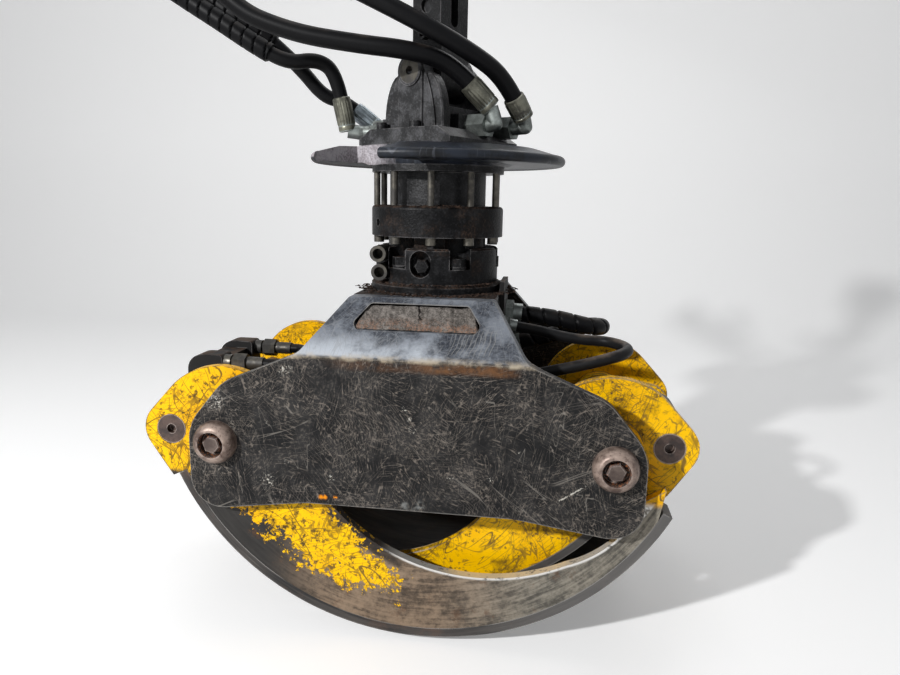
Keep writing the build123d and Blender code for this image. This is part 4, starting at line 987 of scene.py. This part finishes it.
# Rotator base: a flanged drum with a pocket at each bolt, an arched recess with a plug, one side cut away
baseSettings = {
    "profile": (                     # rise, radius
        (0.205, 0.0), (0.205, 0.105), (0.215, 0.105), (0.219, 0.101), (0.219, 0.098), (0.270, 0.098),
        (0.273, 0.095), (0.273, 0.078), (0.2888, 0.078), (0.2888, 0.0),
    ),
    "bolts": (6, 0.086, 0.0195, 0.242, 0.30),    # count, circle, pocket's radius, floor and top
    "arch": (264, 0.250, 0.016, 0.004, 0.078, 0.13),    # turn, middle, half width, half run, depths
    "plug": (0.020, 0.090),                      # flats, how far out its face is
    "side": (-0.0632, -0.0297, 0.2195),          # corner of the cut x, y and rise
    "sideCut": (0.1, 0.055),                     # its half width and height
}


def makeBase():
    settings = baseSettings
    rises = [rise for rise, _ in settings["profile"]]
    span = rises[-1] - rises[0]
    profile = [((rise - rises[0]) / span, radius) for rise, radius in settings["profile"]]
    foot, top = raised([(0, 0, rises[0]), (0, 0, rises[-1])])
    drum = skinMesh("drum", [turnedGrid(foot, top, profile, 128)])
    count, circle, radius, floor, high = settings["bolts"]
    pockets = []
    for turn in np.arange(count) * 2 * math.pi / count:
        middle = raised([(circle * math.cos(turn), circle * math.sin(turn), 0.0)])[0]
        pockets.append(prismGrid(polygon(radius, 40), middle, acrossDir, depthDir, floor, high))
    turn, middle, half, run, depth, reach = settings["arch"]
    out = np.array([math.cos(math.radians(turn)), math.sin(math.radians(turn)), 0.0])
    side = np.array([-out[1], out[0], 0.0])
    stadium = polygon(half, 48)
    stadium[:, 1] += np.where(stadium[:, 1] > 0, run, -run)
    centre = raised([(0.0, 0.0, middle)])[0]
    arch = prismGrid(stadium, centre, side, upDir, depth, reach)
    x, y, low = settings["side"]
    wide, tall = settings["sideCut"]
    corner = raised([(x - wide, y - wide, low)])[0]
    square = wide * np.array([(1, 1), (-1, 1), (-1, -1), (1, -1)])
    cut = prismGrid(square, corner, acrossDir, depthDir, 0.0, tall)
    mesh = carved(drum, [skinMesh("cutter", [grid]) for grid in (*pockets, arch, cut)])
    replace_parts(addPiece("rotator_drum", mesh, "dirtyCast", "frame"), "rotator_base")
    flats, face = settings["plug"]
    plug = prismGrid(hexagon(flats), centre - run * upDir, side, upDir, depth - 0.004, face, 0.0015)
    gridPiece("rotator_plug", [plug], "dirtyCast", "frame")


makeBase()

# Ears of the head: a broad foot beside a rib that stands a little proud, front and back
earSettings = {
    "foot": 0.4485, "top": 0.531, "broad": 0.058, "narrow": 0.023, "rib": 0.0235,
    "footDepth": (0.046, 0.0625), "ribDepth": (0.060, 0.0695), "chamfer": 0.002,
}


def makeEars():
    # half width = narrow + (broad - narrow) * sqrt(1 - (height / full height) ** 2.4)
    settings = earSettings
    share = np.linspace(0, 1, 14)
    half = settings["narrow"] + (settings["broad"] - settings["narrow"]) * np.sqrt(1 - share ** 2.4)
    rise = settings["foot"] + (settings["top"] - settings["foot"]) * share
    foot = np.concatenate([np.column_stack([half, rise]), np.column_stack([-half, rise])[::-1]])
    rib = settings["rib"] * np.array([1.0, 1.0, -1.0, -1.0])
    rib = np.column_stack([rib, [settings["foot"], settings["top"], settings["top"], settings["foot"]]])
    origin = raised([(0.0, 0.0, 0.0)])[0]
    grids = []
    for sign in (1, -1):
        for outline, (start, end) in ((foot, settings["footDepth"]), (rib, settings["ribDepth"])):
            grids.append(prismGrid(outline, origin, sideDir, upDir, sign * start, sign * end,
                                   settings["chamfer"]))
    gridPiece("ear_ribs", grids, "pebbled", "head")


makeEars()
print("pins, base and ears made")

# Bark dirt caught in the hood's slot, heaped on the shelf behind it
dirtSettings = {
    "halfWidth": 0.0902, "slant": 0.0165,        # at the foot, and how much less at the top
    "low": 0.1650, "high": 0.2035,
    "depth": 0.0045, "heap": 0.0006,             # how far behind the plate, and how rough
}


def makeSlotDirt():
    # surface parallel to the leaning plate: x across, v up the slope, pushed in and out by waves
    settings = dirtSettings
    x, v = np.meshgrid(np.linspace(-1, 1, 190), np.linspace(0, 1, 70))
    rise = settings["low"] + (settings["high"] - settings["low"]) * v
    plate = frameShape["face"] - (rise - frameShape["crease"]) * frameShape["lean"]
    depth = plate - settings["depth"] - 0.004 * v
    width = settings["halfWidth"] - settings["slant"] * v
    heap = waves(x * width, rise, 3, 0.022) + waves(x * width, rise, 5, 0.006) * 0.4
    heap = heap * settings["heap"]
    sink = np.clip((np.abs(x) - 0.96) / 0.04, 0, 1) ** 2 * 0.003
    sink = sink + np.clip((v - 0.72) / 0.12, 0, 1) ** 2 * 0.010
    for sign, side in ((-1, "front"), (1, "rear")):
        grid = np.stack([x * width, sign * (depth + heap - sink), rise + (heap - sink) * 0.6], axis=-1)
        gridPiece("slot_dirt_" + side, [raised(grid)], "dirt", "frame",
                  closeAround=False, solid=False)


makeSlotDirt()

# Crumbs of bark round the rotator's foot, on its flange and on the collar
chipSize = np.array([0.0042, 0.0026, 0.0012])
crumbSettings = {
    "foot": {"count": 300, "reach": (0.106, 0.132), "rise": 0.2058, "turns": (175, 400),
             "size": 0.8, "body": "frame"},
    "flange": {"count": 120, "reach": (0.0985, 0.1035), "rise": 0.2195, "turns": (200, 350),
               "size": 0.7, "body": "frame"},
    "collar": {"count": 60, "reach": (0.080, 0.099), "rise": 0.3365, "turns": (262, 300),
               "size": 0.7, "body": "head"},
}


def makeCrumbs():
    # flat chips: a box's corners, pushed about, scaled and turned about the vertical
    square = ((-1, -1), (1, -1), (1, 1), (-1, 1))
    corners = np.array([(x, y, z) for z in (-1, 1) for x, y in square], float)
    for seed, (name, settings) in enumerate(crumbSettings.items()):
        random = np.random.default_rng(seed)
        count = settings["count"]
        turn = np.radians(random.uniform(*settings["turns"], count))
        near, far = settings["reach"]
        reach = near + (far - near) * random.uniform(0, 1, count) ** 1.6
        size = settings["size"] * random.uniform(0.2, 1.0, (count, 1, 3)) * chipSize
        chips = (corners[None] + random.uniform(-0.35, 0.35, (count, 8, 3))) * size
        spin, tip = random.uniform(0, 2 * math.pi, (2, count, 1))
        x, y, z = np.moveaxis(chips, -1, 0)
        z = z + x * np.sin(tip) * 0.3
        cosine, sine = np.cos(spin), np.sin(spin)
        chips = np.stack([x * cosine - y * sine, x * sine + y * cosine, z], axis=-1)
        rise = np.full(count, settings["rise"])
        middle = np.column_stack([reach * np.cos(turn), reach * np.sin(turn), rise])
        inside = np.abs(middle[:, 1]) < frameShape["topHalf"]
        chips = raised(chips + middle[:, None])[inside]
        grids = [np.stack([np.broadcast_to(chip[:4].mean(axis=0), (4, 3)), chip[:4], chip[4:],
                           np.broadcast_to(chip[4:].mean(axis=0), (4, 3))]) for chip in chips]
        gridPiece("crumbs_" + name, grids, "bark", settings["body"])


makeCrumbs()

# Floor, backdrop and lamps
stageSettings = {"floor": -0.300, "back": 3.2, "wall": 3.4, "width": 9.0, "white": 0.90, "glow": 0.22}


def seenRays(tree):
    # 1 for camera, glossy and transmission rays, so that metal shows the same pale background
    rays = tree.nodes.new("ShaderNodeLightPath")
    total = rays.outputs["Is Camera Ray"]
    for name in ("Is Glossy Ray", "Is Transmission Ray"):
        larger = tree.nodes.new("ShaderNodeMath")
        larger.operation = "MAXIMUM"
        tree.links.new(total, larger.inputs[0])
        tree.links.new(rays.outputs[name], larger.inputs[1])
        total = larger.outputs[0]
    return total


def makeStage():
    # floor to the back, then a quarter round up into the wall
    settings = stageSettings
    turn = np.linspace(0, math.pi / 2, 24)
    profile = np.vstack([
        [(-4.0, 0.0)],
        np.column_stack([settings["back"] - 1 + np.sin(turn), 1 - np.cos(turn)]),
        [(settings["back"], settings["wall"])],
    ])
    across = np.array([-settings["width"], settings["width"]])
    grid = np.zeros((len(profile), 2, 3))
    grid[..., 0] = across[None]
    grid[..., 1] = profile[:, 0, None]
    grid[..., 2] = pivotZ + settings["floor"] + profile[:, 1, None]
    rows = np.arange(len(profile) - 1) * 2
    faces = np.stack([rows, rows + 1, rows + 3, rows + 2], axis=-1)
    mesh = bpy.data.meshes.new("floor")
    mesh.from_pydata(grid.reshape(-1, 3).tolist(), [], faces.tolist())
    mesh.polygons.foreach_set("use_smooth", np.full(len(faces), True))
    material = bpy.data.materials.new("paleFloor")
    material.use_nodes = True
    shader = material.node_tree.nodes["Principled BSDF"]
    shader.inputs["Base Color"].default_value = (settings["white"],) * 3 + (1,)
    shader.inputs["Roughness"].default_value = 0.9
    shader.inputs["Emission Strength"].default_value = settings["glow"]
    material.node_tree.links.new(seenRays(material.node_tree), shader.inputs["Emission Color"])
    mesh.materials.append(material)
    floor = bpy.data.objects.new("floor", mesh)
    bpy.context.collection.objects.link(floor)


lampSettings = {             # place, aim, width, watts
    "key": ((-1.75, -2.60, 0.82), (0, 0, -0.65), 0.16, 130),
    "fill": ((2.4, -1.6, 0.6), (0, 0, -0.7), 1.6, 3),
    "back": ((0.8, 2.0, 1.6), (0, 0, -0.6), 1.2, 12),
    "top": ((-0.3, 0.2, 2.6), (0, 0, -0.7), 1.6, 14),
}
worldSettings = {"light": 0.13, "seen": 0.85}


def makeLamps():
    for name, (place, aim, width, watts) in lampSettings.items():
        data = bpy.data.lights.new(name, "AREA")
        data.shape = "DISK"
        data.size = width
        data.energy = watts
        lamp = bpy.data.objects.new(name, data)
        lamp.location = place
        lamp.rotation_euler = (Vector(aim) - Vector(place)).to_track_quat("-Z", "Y").to_euler()
        bpy.context.collection.objects.link(lamp)
    world = bpy.data.worlds.new("world")
    bpy.context.scene.world = world
    world.use_nodes = True
    tree = world.node_tree
    sky = tree.nodes["Background"]
    strength = tree.nodes.new("ShaderNodeMix")
    strength.inputs[2].default_value = worldSettings["light"]
    strength.inputs[3].default_value = worldSettings["seen"]
    tree.links.new(seenRays(tree), strength.inputs[0])
    tree.links.new(strength.outputs[0], sky.inputs["Strength"])
    sky.inputs["Color"].default_value = (0.95, 0.97, 1.0, 1)


makeStage()
makeLamps()
bpy.context.scene.view_settings.view_transform = "Standard"
print("stage and lamps set")
